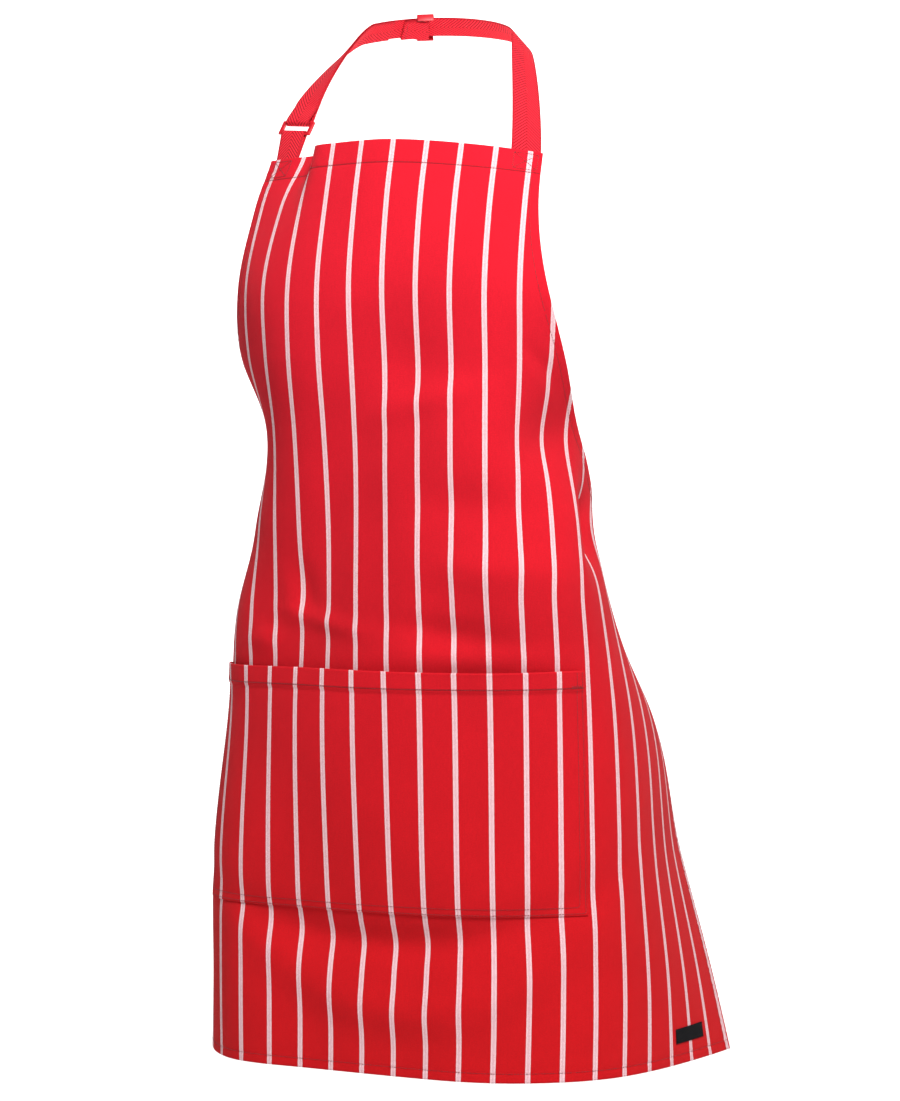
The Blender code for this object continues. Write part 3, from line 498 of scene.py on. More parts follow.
def striped_twill():
    """Red twill with woven white stripes, each with a slightly grey core, and a red painted lighter at the
    top and darker at the bottom as light and shade.
    """
    g = Graph("striped_twill", 0.90, specular=0.12, sheen=0.02)
    u, v = g.cut_millimetres()
    yarn = g.noise(g.vector(u * 2.2, v * 0.35), 1.0)
    slub = g.noise(g.vector(u * 0.62, v * 0.10), 1.0)
    grain = g.noise(g.vector(u * 0.8, v * 0.8), 1.0, 1.0)
    cloudy = g.noise(g.vector(u, v), 0.012)

    phase = (u - STRIPE_PITCH / 2) / STRIPE_PITCH
    away = abs(phase - g.math("ROUND", phase)) * STRIPE_PITCH + (yarn - 0.5) * 0.5
    stripe = g.ramp(away, STRIPE_HALF - STRIPE_SOFT, STRIPE_HALF + STRIPE_SOFT, 1.0, 0.0)
    ridge = g.wave(u * 0.88 + v * 0.50, TWILL_PITCH)
    cross = g.wave(u * 0.55 - v * 0.84, TWILL_PITCH * 0.75)
    weave = ridge * 0.7 + cross * 0.3

    # Painted light: the red runs from a lit, pinker copy at the top of the cut to a darker, shaded copy at
    # the bottom.
    red = g.mix(g.ramp(v, 0.0, 1000.0), LIT_TOP_RED, SHADED_BOTTOM_RED)
    red = g.shade(red, g.ramp(cloudy, 0.3, 0.7, 0.95, 1.02))
    red = g.mix(g.ramp(away, STRIPE_HALF + 0.25, STRIPE_HALF + 0.60, 0.8, 0.0), red, STRIPE_SHADOW)
    white = g.mix(g.ramp(away, 0.8, 1.3, 1.0, 0.0), WHITE, WHITE_CORE)
    white = g.mix(g.ramp(ridge, 0.20, 0.68, 1.0, 0.0), white, DEEP_RED)

    tone = yarn * 0.18 + weave * 0.12 + slub * 0.16 + grain * 0.34 + 0.55
    # Painted shade: the cloth's colour is darkened in a line along each pressed row of stitches.
    for level, half_length in PRESSED_SEAMS:
        beside = abs(v - level) + g.math("MAXIMUM", abs(u) - half_length, 0.0)
        tone = tone * g.ramp(beside, 0.4, 1.2, 0.66, 1.0)
    g.colour(g.shade(g.mix(stripe, red, white), tone))
    g.bump(weave + yarn * 0.4, 0.00030, 0.55)
    return g.material


def herringbone_tape():
    """Woven tape with ribs that meet in chevrons on its middle line, and plain edges; the ribs are painted
    lighter and pinker as a highlight, and the grooves darker as shade.
    """
    g = Graph("herringbone_tape", 0.85, specular=0.16, sheen=0.03)
    across, along = g.cut_millimetres()
    side = abs(across)
    rib = g.ramp(g.wave(along + side * HERRINGBONE_SLOPE, HERRINGBONE_PITCH), 0.20, 0.85)
    fine = g.wave(along - side * 0.9, 0.62)
    woven = rib * g.ramp(side, 0.1, 0.5, 0.7, 1.0) * 0.80 + fine * 0.20
    plain = g.wave(along, 0.9) * 0.8
    height = woven + g.ramp(side, *TAPE_MARGIN) * (plain - woven)
    fuzz = g.noise(g.vector(across, along), 1.4)
    # Painted light and shade: the tone follows the ribs' height, darkest in the grooves, beside the bump.
    tone = height * 0.74 + fuzz * 0.16 + 0.24
    g.colour(g.shade(g.mix(height, TAPE_RED, TAPE_RIB_HIGHLIGHT), tone))
    g.bump(height, 0.00050, 0.9)
    return g.material


def sewing_thread():
    """Twisted thread."""
    g = Graph("sewing_thread", 0.62, specular=0.35, sheen=0.15)
    twist = g.noise(g.object_vector(), 2600.0, 1.0)
    g.colour(g.mix(g.ramp(twist, 0.35, 0.65), *THREAD_REDS))
    g.bump(twist, 0.00012, 0.5)
    return g.material


def moulded_plastic():
    """Dyed plastic with a fine satin grain."""
    g = Graph("moulded_plastic", 0.36, specular=0.35)
    grain = g.noise(g.object_vector(), 900.0, 3.0)
    g.colour(g.mix(g.noise(g.object_vector(), 60.0), *PLASTIC_REDS))
    g.feed(g.ramp(grain, 0.3, 0.7, 0.30, 0.46), g.shader.inputs["Roughness"])
    g.bump(grain, 0.00006, 0.4)
    return g.material


def woven_label(name, colours, roughness):
    """Smooth label weave of fine lines both ways, with specks of the lighter thread."""
    g = Graph(name, roughness, specular=0.08)
    u, v = g.cut_millimetres()
    height = g.wave(u, 0.32) * 0.6 + g.wave(v, 0.45) * 0.4
    speck = g.noise(g.vector(u, v), 1.8)
    g.colour(g.mix(height * g.ramp(speck, 0.35, 0.75), *colours))
    g.bump(height, 0.00015, 0.6)
    return g.material


MATERIALS = {
    "cloth": striped_twill(),
    "tape": herringbone_tape(),
    "thread": sewing_thread(),
    "hardware": moulded_plastic(),
    "black_label": woven_label("black_label", LABEL_BLACKS, 0.70),
    "white_label": woven_label("white_label", LABEL_WHITES, 0.45),
}


# ---------------------------------------------------------------- mesh tools

def place_object(name, data):
    """New object in the scene, for a mesh, a light or a camera."""
    placed = bpy.data.objects.new(name, data)
    bpy.context.scene.collection.objects.link(placed)
    return placed


def add_piece(name, points, faces, cut, slot, body="apron", nodes=()):
    """Smooth piece from points in the wearer's axes, with its flat coordinates in the cut map."""
    mesh = bpy.data.meshes.new(name)
    mesh.from_pydata((np.asarray(points) - ORIGIN).tolist(), [], faces)
    corners = np.zeros(len(mesh.loops), int)
    mesh.loops.foreach_get("vertex_index", corners)
    layer = mesh.uv_layers.new(name=CUT_MAP)
    layer.data.foreach_set("uv", np.asarray(cut, float)[corners].ravel())
    mesh.polygons.foreach_set("use_smooth", np.ones(len(mesh.polygons), bool))
    mesh.materials.append(MATERIALS[slot])
    mesh.validate()
    piece = place_object(name, mesh)
    if body:
        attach(piece, body)
    if nodes:
        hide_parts(*nodes)
    return piece


def ring_faces(rings, sides):
    """Quads that join each ring of points to the next one."""
    faces = []
    for r in range(rings):
        for s in range(sides):
            a, b = r * sides + s, r * sides + (s + 1) % sides
            faces.append((a, b, b + sides, a + sides))
    return faces

def boundary_loop(faces):
    """Directed boundary edges of a list of faces."""
    edges = set()
    for face in faces:
        for k in range(len(face)):
            edges.add((face[k], face[(k + 1) % len(face)]))
    return [(a, b) for a, b in sorted(edges) if (b, a) not in edges]


def cloth_body(name, u, v, faces, low, high, slot, nodes=(), lift=0.0, rim=0.0004):
    """Sheet of cloth on the worn surface between two offsets, with a rounded rim.

    faces turn anticlockwise seen from outside. lift is added to both offsets, for each point.
    """
    faces = [tuple(face) for face in faces]
    points, normals = surface(u, v)
    low = (np.zeros(len(u)) + low + lift)[:, None]
    high = (np.zeros(len(u)) + high + lift)[:, None]
    count = len(u)
    edges = boundary_loop(faces)
    outward = np.zeros((count, 2))
    for a, b in edges:
        run = np.array([u[b] - u[a], v[b] - v[a]])
        turn = np.array([-run[1], run[0]])
        outward[a] += turn
        outward[b] += turn
    ring = sorted({k for edge in edges for k in edge})
    place = {k: 2 * count + i for i, k in enumerate(ring)}
    size = np.linalg.norm(outward[ring], axis=1, keepdims=True) + 1e-9
    out = outward[ring] / size * rim
    middle, middle_normals = surface(u[ring] + out[:, 0], v[ring] + out[:, 1])
    middle = middle + middle_normals * (low[ring] + high[ring]) / 2
    body = [tuple(count + k for k in face) for face in faces] + [tuple(face[::-1]) for face in faces]
    for a, b in edges:
        body += [(count + b, count + a, place[a], place[b]), (place[b], place[a], a, b)]
    everything = np.concatenate([points + normals * low, points + normals * high, middle])
    flat = np.column_stack([np.concatenate([u, u, u[ring]]), np.concatenate([v, v, v[ring]])])
    return add_piece(name, everything, body, flat, slot, nodes=nodes)


def block_faces(index):
    """Quads of a block of point numbers, rows down and columns across, anticlockwise from outside."""
    return np.stack([index[:-1, :-1], index[1:, :-1], index[1:, 1:], index[:-1, 1:]], -1).reshape(-1, 4)


def grid_faces(rows, cols):
    return block_faces(np.arange(rows * cols).reshape(rows, cols))


def grid_cut(across, down):
    """u, v and faces of a rectangle of cloth, from its columns and its rows."""
    u, v = (grid.ravel() for grid in np.meshgrid(across, down))
    return u, v, grid_faces(len(down), len(across))


def graded(stops, steps):
    """Increasing numbers from the first stop to the last, with its own step in each interval."""
    runs = [np.linspace(a, b, max(2, int(round((b - a) / step)) + 1))[:-1]
            for a, b, step in zip(stops, stops[1:], steps)]
    return np.concatenate(runs + [[stops[-1]]])


# Widths of the mesh's quads, how deep the fine ones run in from an edge and down the bib, and the
# panel's split into rows above and columns below, as an angle on the armhole's ellipse.
FINE_STEP = 0.0016
PANEL_STEP = 0.0034
POCKET_STEP = 0.0036
FINE_BORDER = 0.012
FINE_BIB = 0.030
BIB_MEAN_HALF_WIDTH = 0.24
SPLIT_DEGREES = 60


def half_width(v):
    """Half the cut's width at distances v down, as far as the armhole's lowest stretch."""
    down = np.clip((v - ARMHOLE_TOP) / ARMHOLE_DOWN, 0, 1)
    return APRON_HALF_WIDTH - ARMHOLE_ACROSS * np.sqrt(1 - down ** 2)


def panel_cut(fine, coarse):
    """u, v and faces of the panel's cut: bib rows across, then columns down from the armholes."""
    split = math.radians(SPLIT_DEGREES)
    split_v = ARMHOLE_TOP + ARMHOLE_DOWN * math.sin(split)
    split_u = APRON_HALF_WIDTH - ARMHOLE_ACROSS * math.cos(split)
    rows = graded((0.0, FINE_BIB, split_v), (fine, coarse))
    border, edge_step = FINE_BORDER / BIB_HALF_WIDTH, fine / BIB_HALF_WIDTH
    across = graded((-1, -1 + border, 1 - border, 1),
                    (edge_step, coarse / BIB_MEAN_HALF_WIDTH, edge_step))
    upper_u = across[None, :] * half_width(rows)[:, None]
    upper_v = np.repeat(rows[:, None], len(across), axis=1)

    side_count = int(round((APRON_HALF_WIDTH - split_u) / coarse))
    turns = np.linspace(split, math.pi / 2, side_count + 1)[1:]
    edge_u = APRON_HALF_WIDTH - ARMHOLE_ACROSS * np.cos(turns)
    fan = np.linspace(edge_u[-5], APRON_HALF_WIDTH, 12)[1:]
    edge_u = np.concatenate([edge_u[:-4], fan])
    edge_v = ARMHOLE_TOP + ARMHOLE_DOWN * np.sqrt(np.clip(1 - ((APRON_HALF_WIDTH - edge_u)
                                                              / ARMHOLE_ACROSS) ** 2, 0, 1))
    top_u = np.concatenate([-edge_u[::-1], across * split_u, edge_u])
    top_v = np.concatenate([edge_v[::-1], np.full(len(across), split_v), edge_v])
    depth = APRON_LENGTH - split_v
    border = FINE_BORDER / depth
    down = graded((0, border, 1 - border, 1), (fine / depth, coarse / depth, fine / depth))
    lower_u = np.repeat(top_u[None, :], len(down), axis=0)
    lower_v = top_v[None, :] + down[:, None] * (APRON_LENGTH - top_v)[None, :]

    upper = np.arange(upper_u.size).reshape(upper_u.shape)
    lower = upper.size + np.arange(lower_u.size).reshape(lower_u.shape)
    sides = len(edge_u)
    lower[0, sides:sides + len(across)] = upper[-1]
    u = np.concatenate([upper_u.ravel(), lower_u.ravel()])
    v = np.concatenate([upper_v.ravel(), lower_v.ravel()])
    used, faces = np.unique(np.concatenate([block_faces(upper), block_faces(lower)]), return_inverse=True)
    return u[used], v[used], faces.reshape(-1, 4)


def strip(name, outer, inner, nodes, count=5, low=HEM_INNER, lift=None):
    """Strip of cloth from offset low outwards, between two lines of the cut, arrays of (u, v)."""
    t = np.linspace(0, 1, count)[None, :, None]
    grid = outer[:, None, :] * (1 - t) + inner[:, None, :] * t
    u, v = grid[..., 0].ravel(), grid[..., 1].ravel()
    faces = grid_faces(len(outer), count)
    a, b, c = faces[0][:3]
    if (u[b] - u[a]) * (v[c] - v[a]) - (v[b] - v[a]) * (u[c] - u[a]) > 0:
        faces = faces[:, ::-1]
    extra = 0.0 if lift is None else lift(u, v)
    return cloth_body(name, u, v, faces, low, low + CLOTH, "cloth", nodes, extra, rim=0.0002)


def resample(path, step):
    """Points at equal steps along a line of any dimension."""
    path = np.asarray(path, float)
    along = np.concatenate([[0.0], np.cumsum(np.linalg.norm(np.diff(path, axis=0), axis=1))])
    where = np.linspace(0, along[-1], max(2, int(round(along[-1] / step)) + 1))
    return np.column_stack([np.interp(where, along, path[:, k]) for k in range(path.shape[1])])


# Rings of a stitch: place along it and radius, as fractions, and how deep it sinks, in radii.
STITCH_RINGS = ((-0.42, 0.55, 0.55), (-0.18, 0.95, 0.05), (0.18, 0.95, 0.05), (0.42, 0.55, 0.55))
STITCH_SIDES = 6
STITCH_PITCH = 0.0029
STITCH_LENGTH = 0.0024
THREAD_RADIUS = 0.00032
STITCH_LIFT = THREAD_RADIUS * 0.6


def stitches(name, runs, nodes=(), body="apron"):
    """Row of stitches. runs holds (centres, directions, normals), three arrays for each run."""
    centres, headings, normals = (np.concatenate([run[k] for run in runs]) for k in range(3))
    headings = unit(headings)
    sides = unit(np.cross(normals, headings))
    normals = np.cross(headings, sides)
    shapes = [(-0.5, 0.0, 0.0, 0.9)]
    for place, size, sunk in STITCH_RINGS:
        for k in range(STITCH_SIDES):
            a = 2 * math.pi * k / STITCH_SIDES
            shapes.append((place, size * math.cos(a), size * math.sin(a), sunk))
    shapes.append((0.5, 0.0, 0.0, 0.9))
    shapes = np.array(shapes)
    points = (centres[:, None] + headings[:, None] * shapes[None, :, 0:1] * STITCH_LENGTH
              + sides[:, None] * shapes[None, :, 1:2] * THREAD_RADIUS
              + normals[:, None] * (shapes[None, :, 2:3] - shapes[None, :, 3:4]) * THREAD_RADIUS)
    rings, last = len(STITCH_RINGS) - 1, len(shapes) - 1
    faces = [tuple(1 + k for k in face) for face in ring_faces(rings, STITCH_SIDES)]
    for k in range(STITCH_SIDES):
        after = (k + 1) % STITCH_SIDES
        faces.append((0, 1 + after, 1 + k))
        faces.append((last, 1 + rings * STITCH_SIDES + k, 1 + rings * STITCH_SIDES + after))
    whole = [tuple(k + i * len(shapes) for k in face) for i in range(len(centres)) for face in faces]
    flat = np.tile(shapes[:, :2] * STITCH_LENGTH, (len(centres), 1))
    add_piece(name, points.reshape(-1, 3), whole, flat, "thread", body, nodes)


def seam_run(path, lift, pitch=STITCH_PITCH):
    """Stitches along a line of the cut, lying at a height over the panel's outer face."""
    ends = resample(path, pitch)
    centres = (ends[1:] + ends[:-1]) / 2
    step = (ends[1:] - ends[:-1]) / 2
    points, normals = surface(centres[:, 0], centres[:, 1])
    height = lift(centres[:, 0], centres[:, 1]) if callable(lift) else np.full(len(centres), lift)
    ahead = surface(centres[:, 0] + step[:, 0], centres[:, 1] + step[:, 1])[0]
    behind = surface(centres[:, 0] - step[:, 0], centres[:, 1] - step[:, 1])[0]
    sign = -1 if np.mean(height) < -CLOTH / 2 else 1
    return points + normals * height[:, None], ahead - behind, normals * sign


def hem_stitches(name, path):
    """A hem's row of stitches, on the panel's outer face and on the hem's inner face."""
    stitches(name, [seam_run(path, STITCH_LIFT), seam_run(path, HEM_INNER - STITCH_LIFT)])


def line(*corners):
    """Line of the cut through corners, with points close enough to follow the worn surface."""
    return resample(np.array(corners, float), 0.004)


# ---------------------------------------------------------------- panel and hems

def armhole_line(side, inset, first=0, last=90):
    """Line along an armhole at a distance inside its edge."""
    a = np.radians(np.linspace(first, last, 90))
    u = APRON_HALF_WIDTH - ARMHOLE_ACROSS * np.cos(a)
    v = ARMHOLE_TOP + ARMHOLE_DOWN * np.sin(a)
    inward = unit(np.column_stack([-ARMHOLE_DOWN * np.cos(a), ARMHOLE_ACROSS * np.sin(a)]))
    return np.column_stack([side * (u + inward[:, 0] * inset), v + inward[:, 1] * inset])


def make_panel():
    u, v, faces = panel_cut(FINE_STEP, PANEL_STEP)
    panel = cloth_body("body_panel_cloth", u, v, faces, -CLOTH, 0.0, "cloth", ["body_panel"])
    cut_area = 2 * APRON_HALF_WIDTH * (APRON_LENGTH - TIE_CORNER) + 2 * BIB_HALF_WIDTH * TIE_CORNER
    cut_area += 2 * ARMHOLE_ACROSS * ARMHOLE_DOWN * (1 - math.pi / 4)
    return panel, cut_area


def make_hems():
    """The turned edges, with their rows of stitches."""
    pieces = []
    top = line((-BIB_HALF_WIDTH, 0), (BIB_HALF_WIDTH, 0))
    pieces.append(strip("bib_top_hem_cloth", top, top + [0, BIB_HEM_WIDTH], ["bib_top_hem"], 9))
    for side, word in SIDES:
        corner = np.array([[side * BIB_HALF_WIDTH, BIB_HEM_WIDTH + LAYER_GAP]])
        outer = np.concatenate([corner, armhole_line(side, 0.0, 3, 89.5)])
        inner = np.concatenate([corner - [side * HEM_WIDTH, 0], armhole_line(side, HEM_WIDTH, 3, 89.5)])
        pieces.append(strip("armhole_hem_cloth_" + word, outer, inner, ["armhole_hem_" + word]))
        edge = side * APRON_HALF_WIDTH
        outer = line((edge, TIE_CORNER + 0.001), (edge, APRON_LENGTH))
        inner = outer - [side * HEM_WIDTH, 0]
        inner[0, 1] += HEM_WIDTH
        pieces.append(strip("side_hem_cloth_" + word, outer, inner, ["side_hem_" + word]))
    reach = APRON_HALF_WIDTH - HEM_WIDTH - LAYER_GAP
    bottom = line((-reach, APRON_LENGTH), (reach, APRON_LENGTH))
    pieces.append(strip("bottom_hem_cloth", bottom, bottom - [0, HEM_WIDTH], ["bottom_hem"]))

    inset = HEM_WIDTH - SEAM_INSET
    bib = BIB_HEM_WIDTH - SEAM_INSET
    hem_stitches("bib_hem_stitches", line((-BIB_HALF_WIDTH + 0.001, bib), (BIB_HALF_WIDTH - 0.001, bib)))
    for side, word in SIDES:
        hem_stitches("armhole_stitches_" + word, armhole_line(side, inset, 1.5, 88.5))
        edge = side * (APRON_HALF_WIDTH - inset)
        hem_stitches("side_stitches_" + word,
                     line((edge, TIE_CORNER + inset), (edge, APRON_LENGTH - 0.001)))
    level = APRON_LENGTH - inset
    across = APRON_HALF_WIDTH - 0.001
    hem_stitches("bottom_hem_stitches", line((-across, level), (across, level)))
    return pieces


# ---------------------------------------------------------------- pocket

def pocket_gap(u, v):
    """Gap between the panel and the pocket's inner face."""
    across = np.clip(np.abs(u) / POCKET_HALF_WIDTH, 0, 1)
    down = np.clip((v - POCKET_TOP) / (POCKET_BOTTOM - POCKET_TOP), 0, 1)
    hem = ease(np.clip((POCKET_TOP + POCKET_HEM_WIDTH + 0.004 - v) / 0.004, 0, 1)) * (CLOTH + LAYER_GAP)
    return LAYER_GAP + hem + POCKET_BULGE * (1 - across ** 4) * (1 - down ** 2)


def make_pocket():
    steps = (FINE_STEP, POCKET_STEP, FINE_STEP)
    across = graded((-POCKET_HALF_WIDTH, -POCKET_HALF_WIDTH + 0.010, POCKET_HALF_WIDTH - 0.010,
                     POCKET_HALF_WIDTH), steps)
    down = graded((POCKET_TOP, POCKET_TOP + 0.024, POCKET_BOTTOM - 0.010, POCKET_BOTTOM), steps)
    u, v, faces = grid_cut(across, down)
    gap = pocket_gap(u, v)
    pocket = cloth_body("pocket_cloth", u, v, faces, 0.0, CLOTH, "cloth", ["pocket_panel"], gap)
    mouth = line((-POCKET_HALF_WIDTH, POCKET_TOP), (POCKET_HALF_WIDTH, POCKET_TOP))
    hem = strip("pocket_hem_cloth", mouth, mouth + [0, POCKET_HEM_WIDTH], ["pocket_mouth_hem"], 7,
                -LAYER_GAP - CLOTH, pocket_gap)

    def over(u, v):
        return pocket_gap(u, v) + CLOTH + STITCH_LIFT

    reach = POCKET_HALF_WIDTH - 0.001
    level = POCKET_TOP + POCKET_HEM_WIDTH - SEAM_INSET
    stitches("pocket_mouth_stitches", [seam_run(line((-reach, level), (reach, level)), over)])
    runs = []
    for inset in (0.0018, 0.0078):
        side, low = POCKET_HALF_WIDTH - inset, POCKET_BOTTOM - inset
        runs.append(seam_run(line((-side, POCKET_TOP + 0.001), (-side, low), (side, low),
                                  (side, POCKET_TOP + 0.001)), over))
    stitches("pocket_outline_stitches", runs)
    for side, word in SIDES:
        turns = [(side * (POCKET_HALF_WIDTH - 0.002 - 0.0012 * k),
                  POCKET_TOP + 0.0145 + 0.0030 * (k % 2)) for k in range(11)]
        stitches("pocket_bartack_stitches_" + word, [seam_run(np.array(turns), over, 0.0016)],
                 ["pocket_bartack_" + word])
    return pocket, hem


# ---------------------------------------------------------------- tapes

def ribbon_profile(width, columns=8):
    """Closed cross-section of a tape, as across and height, with rounded edges."""
    half, edge = width / 2, TAPE / 2
    flat = np.linspace(-half + edge, half - edge, columns + 1)
    top = [(x, edge) for x in flat]
    right = [(half - edge + edge * math.cos(a), edge * math.sin(a)) for a in (math.pi / 4, 0, -math.pi / 4)]
    return np.array(top + right + [(-x, -z) for x, z in top + right])


def ribbon(name, stations, width, nodes, body="apron", start=0.0):
    """Tape along stations of (point, width direction, normal)."""
    profile = ribbon_profile(width)
    points, widths, normals = (np.array([station[k] for station in stations]) for k in range(3))
    along = start + np.concatenate([[0.0], np.cumsum(np.linalg.norm(np.diff(points, axis=0), axis=1))])
    grid = (points[:, None] + widths[:, None] * profile[None, :, 0:1]
            + normals[:, None] * profile[None, :, 1:2])
    count, sides = grid.shape[:2]
    faces = ring_faces(count - 1, sides)
    faces += [tuple(range(sides))[::-1], tuple(range((count - 1) * sides, count * sides))]
    if np.dot(np.cross(points[1] - points[0], widths[0]), normals[0]) > 0:
        faces = [face[::-1] for face in faces]
    flat = np.column_stack([np.tile(profile[:, 0], count), np.repeat(along, sides)])
    return add_piece(name, grid.reshape(-1, 3), faces, flat, "tape", body, nodes)


def hermite(start, start_slope, end, end_slope, count):
    """Smooth curve of count points between two ends with given slopes."""
    return hermite_mix(np.linspace(0, 1, count)[:, None], start, start_slope, end, end_slope)


def dress(points, first_width, last_width, delay=1.0):
    """Stations along points, with the width turning evenly from one direction to the other."""
    stations = []
    for k, point in enumerate(points):
        heading = unit(points[min(k + 1, len(points) - 1)] - points[max(k - 1, 0)])
        t = (k / (len(points) - 1)) ** delay
        width = first_width * (1 - t) + last_width * t
        width = unit(width - heading * np.dot(width, heading))
        stations.append((point, width, np.cross(heading, width)))
    return stations


def dress_planar(stations):
    """Stations with the same points and widths, and the normals square to their path."""
    result = []
    for k, (point, width, _) in enumerate(stations):
        before, after = stations[max(k - 1, 0)][0], stations[min(k + 1, len(stations) - 1)][0]
        result.append((point, width, unit(np.cross(after - before, width))))
    return result


def bib_station(u, v, depth):
    """Station of a tape sewn inside the bib, running up the cloth."""
    point, normal = worn(u, v)
    across = unit(worn(u + 0.002, v)[0] - worn(u - 0.002, v)[0])
    return point + normal * depth, (-across if u > 0 else across), normal


# The ring as the CAD holds it: the middle of its lower bar, and its directions.
RING_JOINT = next(joint for joint in frame["joints"] if joint["name"] == "ring_swing")
RING_LOW = np.array(RING_JOINT["pos_m"]) + ORIGIN
RING_UP = unit(np.array(RING_LEAN))
RING_ACROSS = unit(np.array(RING_JOINT["axis"]))
RING_NORMAL = np.cross(-RING_UP, RING_ACROSS)
RING_HIGH = RING_LOW + RING_UP * (RING_WINDOW + RING_BAR)
FOLD_RADIUS = RING_THICKNESS / 2 + RING_SWING_CLEARANCE + TAPE / 2
TAB_RADIUS = RING_THICKNESS / 2 + RING_TAB_CLEARANCE + TAPE / 2


def half_turn(centre, towards, radius):
    """Points of a fold round one of the ring's bars, from its outer side to its inner side."""
    turns = [math.radians(degrees) for degrees in range(15, 180, 15)]
    return [centre + (RING_NORMAL * math.cos(a) + towards * math.sin(a)) * radius for a in turns]


def fold_side(side, heights):
    """Points of the strap's fold beside the ring's upper bar, at heights above that bar."""
    settled = 0.0 if side > 0 else -DOUBLED_OFFSET
    points = []
    for height in heights:
        t = ease(min(1.0, height / FOLD_EASE))
        points.append(RING_HIGH + RING_UP * height
                      + RING_NORMAL * (side * FOLD_RADIUS * (1 - t) + settled * t))
    return points


def descent_stations():
    """Stations of the strap from the wearer's right shoulder down to the fold."""
    start, width, _ = neck_station(RIGHT_SHOULDER)
    top = fold_side(1, [FOLD_EASE])[0]
    path = hermite(start, neck_heading(RIGHT_SHOULDER) * SHOULDER_EASE, top, -RING_UP * 0.09, 53)
    return dress(path, width, RING_ACROSS, TWIST_DELAY)


def make_neck_strap():
    sewn = [bib_station(STRAP_U, v, TAPE_OFFSET) for v in np.linspace(SEWN_LENGTH, 0.0, 9)]
    shoulder, shoulder_width, _ = neck_station(LEFT_SHOULDER)
    base = sewn[-1][0]
    climb = unit(sewn[-1][0] - sewn[-2][0]) * 0.5 + unit(shoulder - base) * 0.5
    rise = hermite(base, climb * np.linalg.norm(shoulder - base), shoulder,
                   neck_heading(LEFT_SHOULDER) * SHOULDER_EASE, 61)
    stations = sewn[:-1] + dress(rise, sewn[-1][1], shoulder_width)[:-1]
    stations += [neck_station(a) for a in np.arange(LEFT_SHOULDER, RIGHT_SHOULDER - 0.5, -1)]
    stations += descent_stations()[1:]
    fold = fold_side(1, np.linspace(FOLD_EASE, 0, 13)[1:])
    fold += half_turn(RING_HIGH, -RING_UP, FOLD_RADIUS)
    fold += fold_side(-1, np.linspace(0, FOLD_RETURN, 7))
    stations += [(point, RING_ACROSS, None) for point in fold]
    ribbon("neck_strap_tape", dress_planar(stations), TAPE_WIDTH, ["neck_strap"])


def return_start():
    """Angle at which the strap's second layer leaves the end loop at the slider's forward limit."""
    first = SLIDER_ANGLE - math.degrees((SLIDER_LENGTH / 2 + LOOP_TAIL) / NECK_RADIUS)
    return first - SLIDER_TRAVEL_FORWARD


def make_strap_return():
    """The strap's second layer, which stretches between the slider and the ring."""
    stations = [neck_station(a, -DOUBLED_OFFSET) for a in np.arange(return_start(), RIGHT_SHOULDER, -1)]
    stations.append(neck_station(RIGHT_SHOULDER, -DOUBLED_OFFSET))
    stations += [(p - n * DOUBLED_OFFSET, w, n) for p, w, n in descent_stations()[1:]]
    fold = fold_side(-1, np.linspace(FOLD_EASE, FOLD_RETURN + 2 * LAYER_GAP, 8))
    stations += [(point, RING_ACROSS, None) for point in fold[1:]]
    strap_return = ribbon("strap_return_tape", dress_planar(stations), TAPE_WIDTH, ["neck_strap_return"],
                          body=None, start=0.3)
    start, end = (neck_station(a)[0] - ORIGIN for a in (return_start(), RIGHT_SHOULDER))
    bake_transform(strap_return)


TAPE_ROOM = TAPE / 2 + SLIDER_CLEARANCE
LOOP_CENTRE = TAPE_ROOM + TAPE + LAYER_GAP + SLIDER_BAR / 2


def make_end_loop():
    """The strap's end, folded round the slider's mid bar and sewn to itself."""
    around = SLIDER_MID_BAR / 2 + 2 * LAYER_GAP + TAPE / 2
    deep = SLIDER_BAR / 2 + LAYER_GAP + TAPE / 2
    tail = SLIDER_LENGTH / 2 + LOOP_TAIL
    close = deep - TAPE - LAYER_GAP
    profile = [(x, deep) for x in np.linspace(tail, 0, 9)]
    for degrees in range(75, -90, -15):
        a = math.radians(degrees)
        profile.append((-around * math.sqrt(math.cos(a)),
                        math.copysign(deep * math.sqrt(abs(math.sin(a))), a)))
    profile += [(0.0, -deep), (around, -deep)]
    profile += [(x, close) for x in np.linspace(tail / 2, tail, 5)]
    stations = []
    for along, depth in profile:
        angle = SLIDER_ANGLE - math.degrees(along / NECK_RADIUS)
        stations.append(neck_station(angle, depth - LOOP_CENTRE))
    angle = SLIDER_ANGLE - math.degrees((tail - 0.004) / NECK_RADIUS)
    point, width, normal = neck_station(angle, close - LOOP_CENTRE)
    across = np.arange(-0.012, 0.0121, STITCH_PITCH)[:, None]
    face = normal * (TAPE / 2 + STITCH_LIFT)
    rows = [(point + across * width - face, np.tile(width, (len(across), 1)),
             np.tile(-normal, (len(across), 1)))]
    stitches("end_loop_stitches", rows, body="slider")
    ribbon("strap_end_loop_tape", dress_planar(stations), TAPE_WIDTH - 0.001, ["strap_end_loop"], "slider")


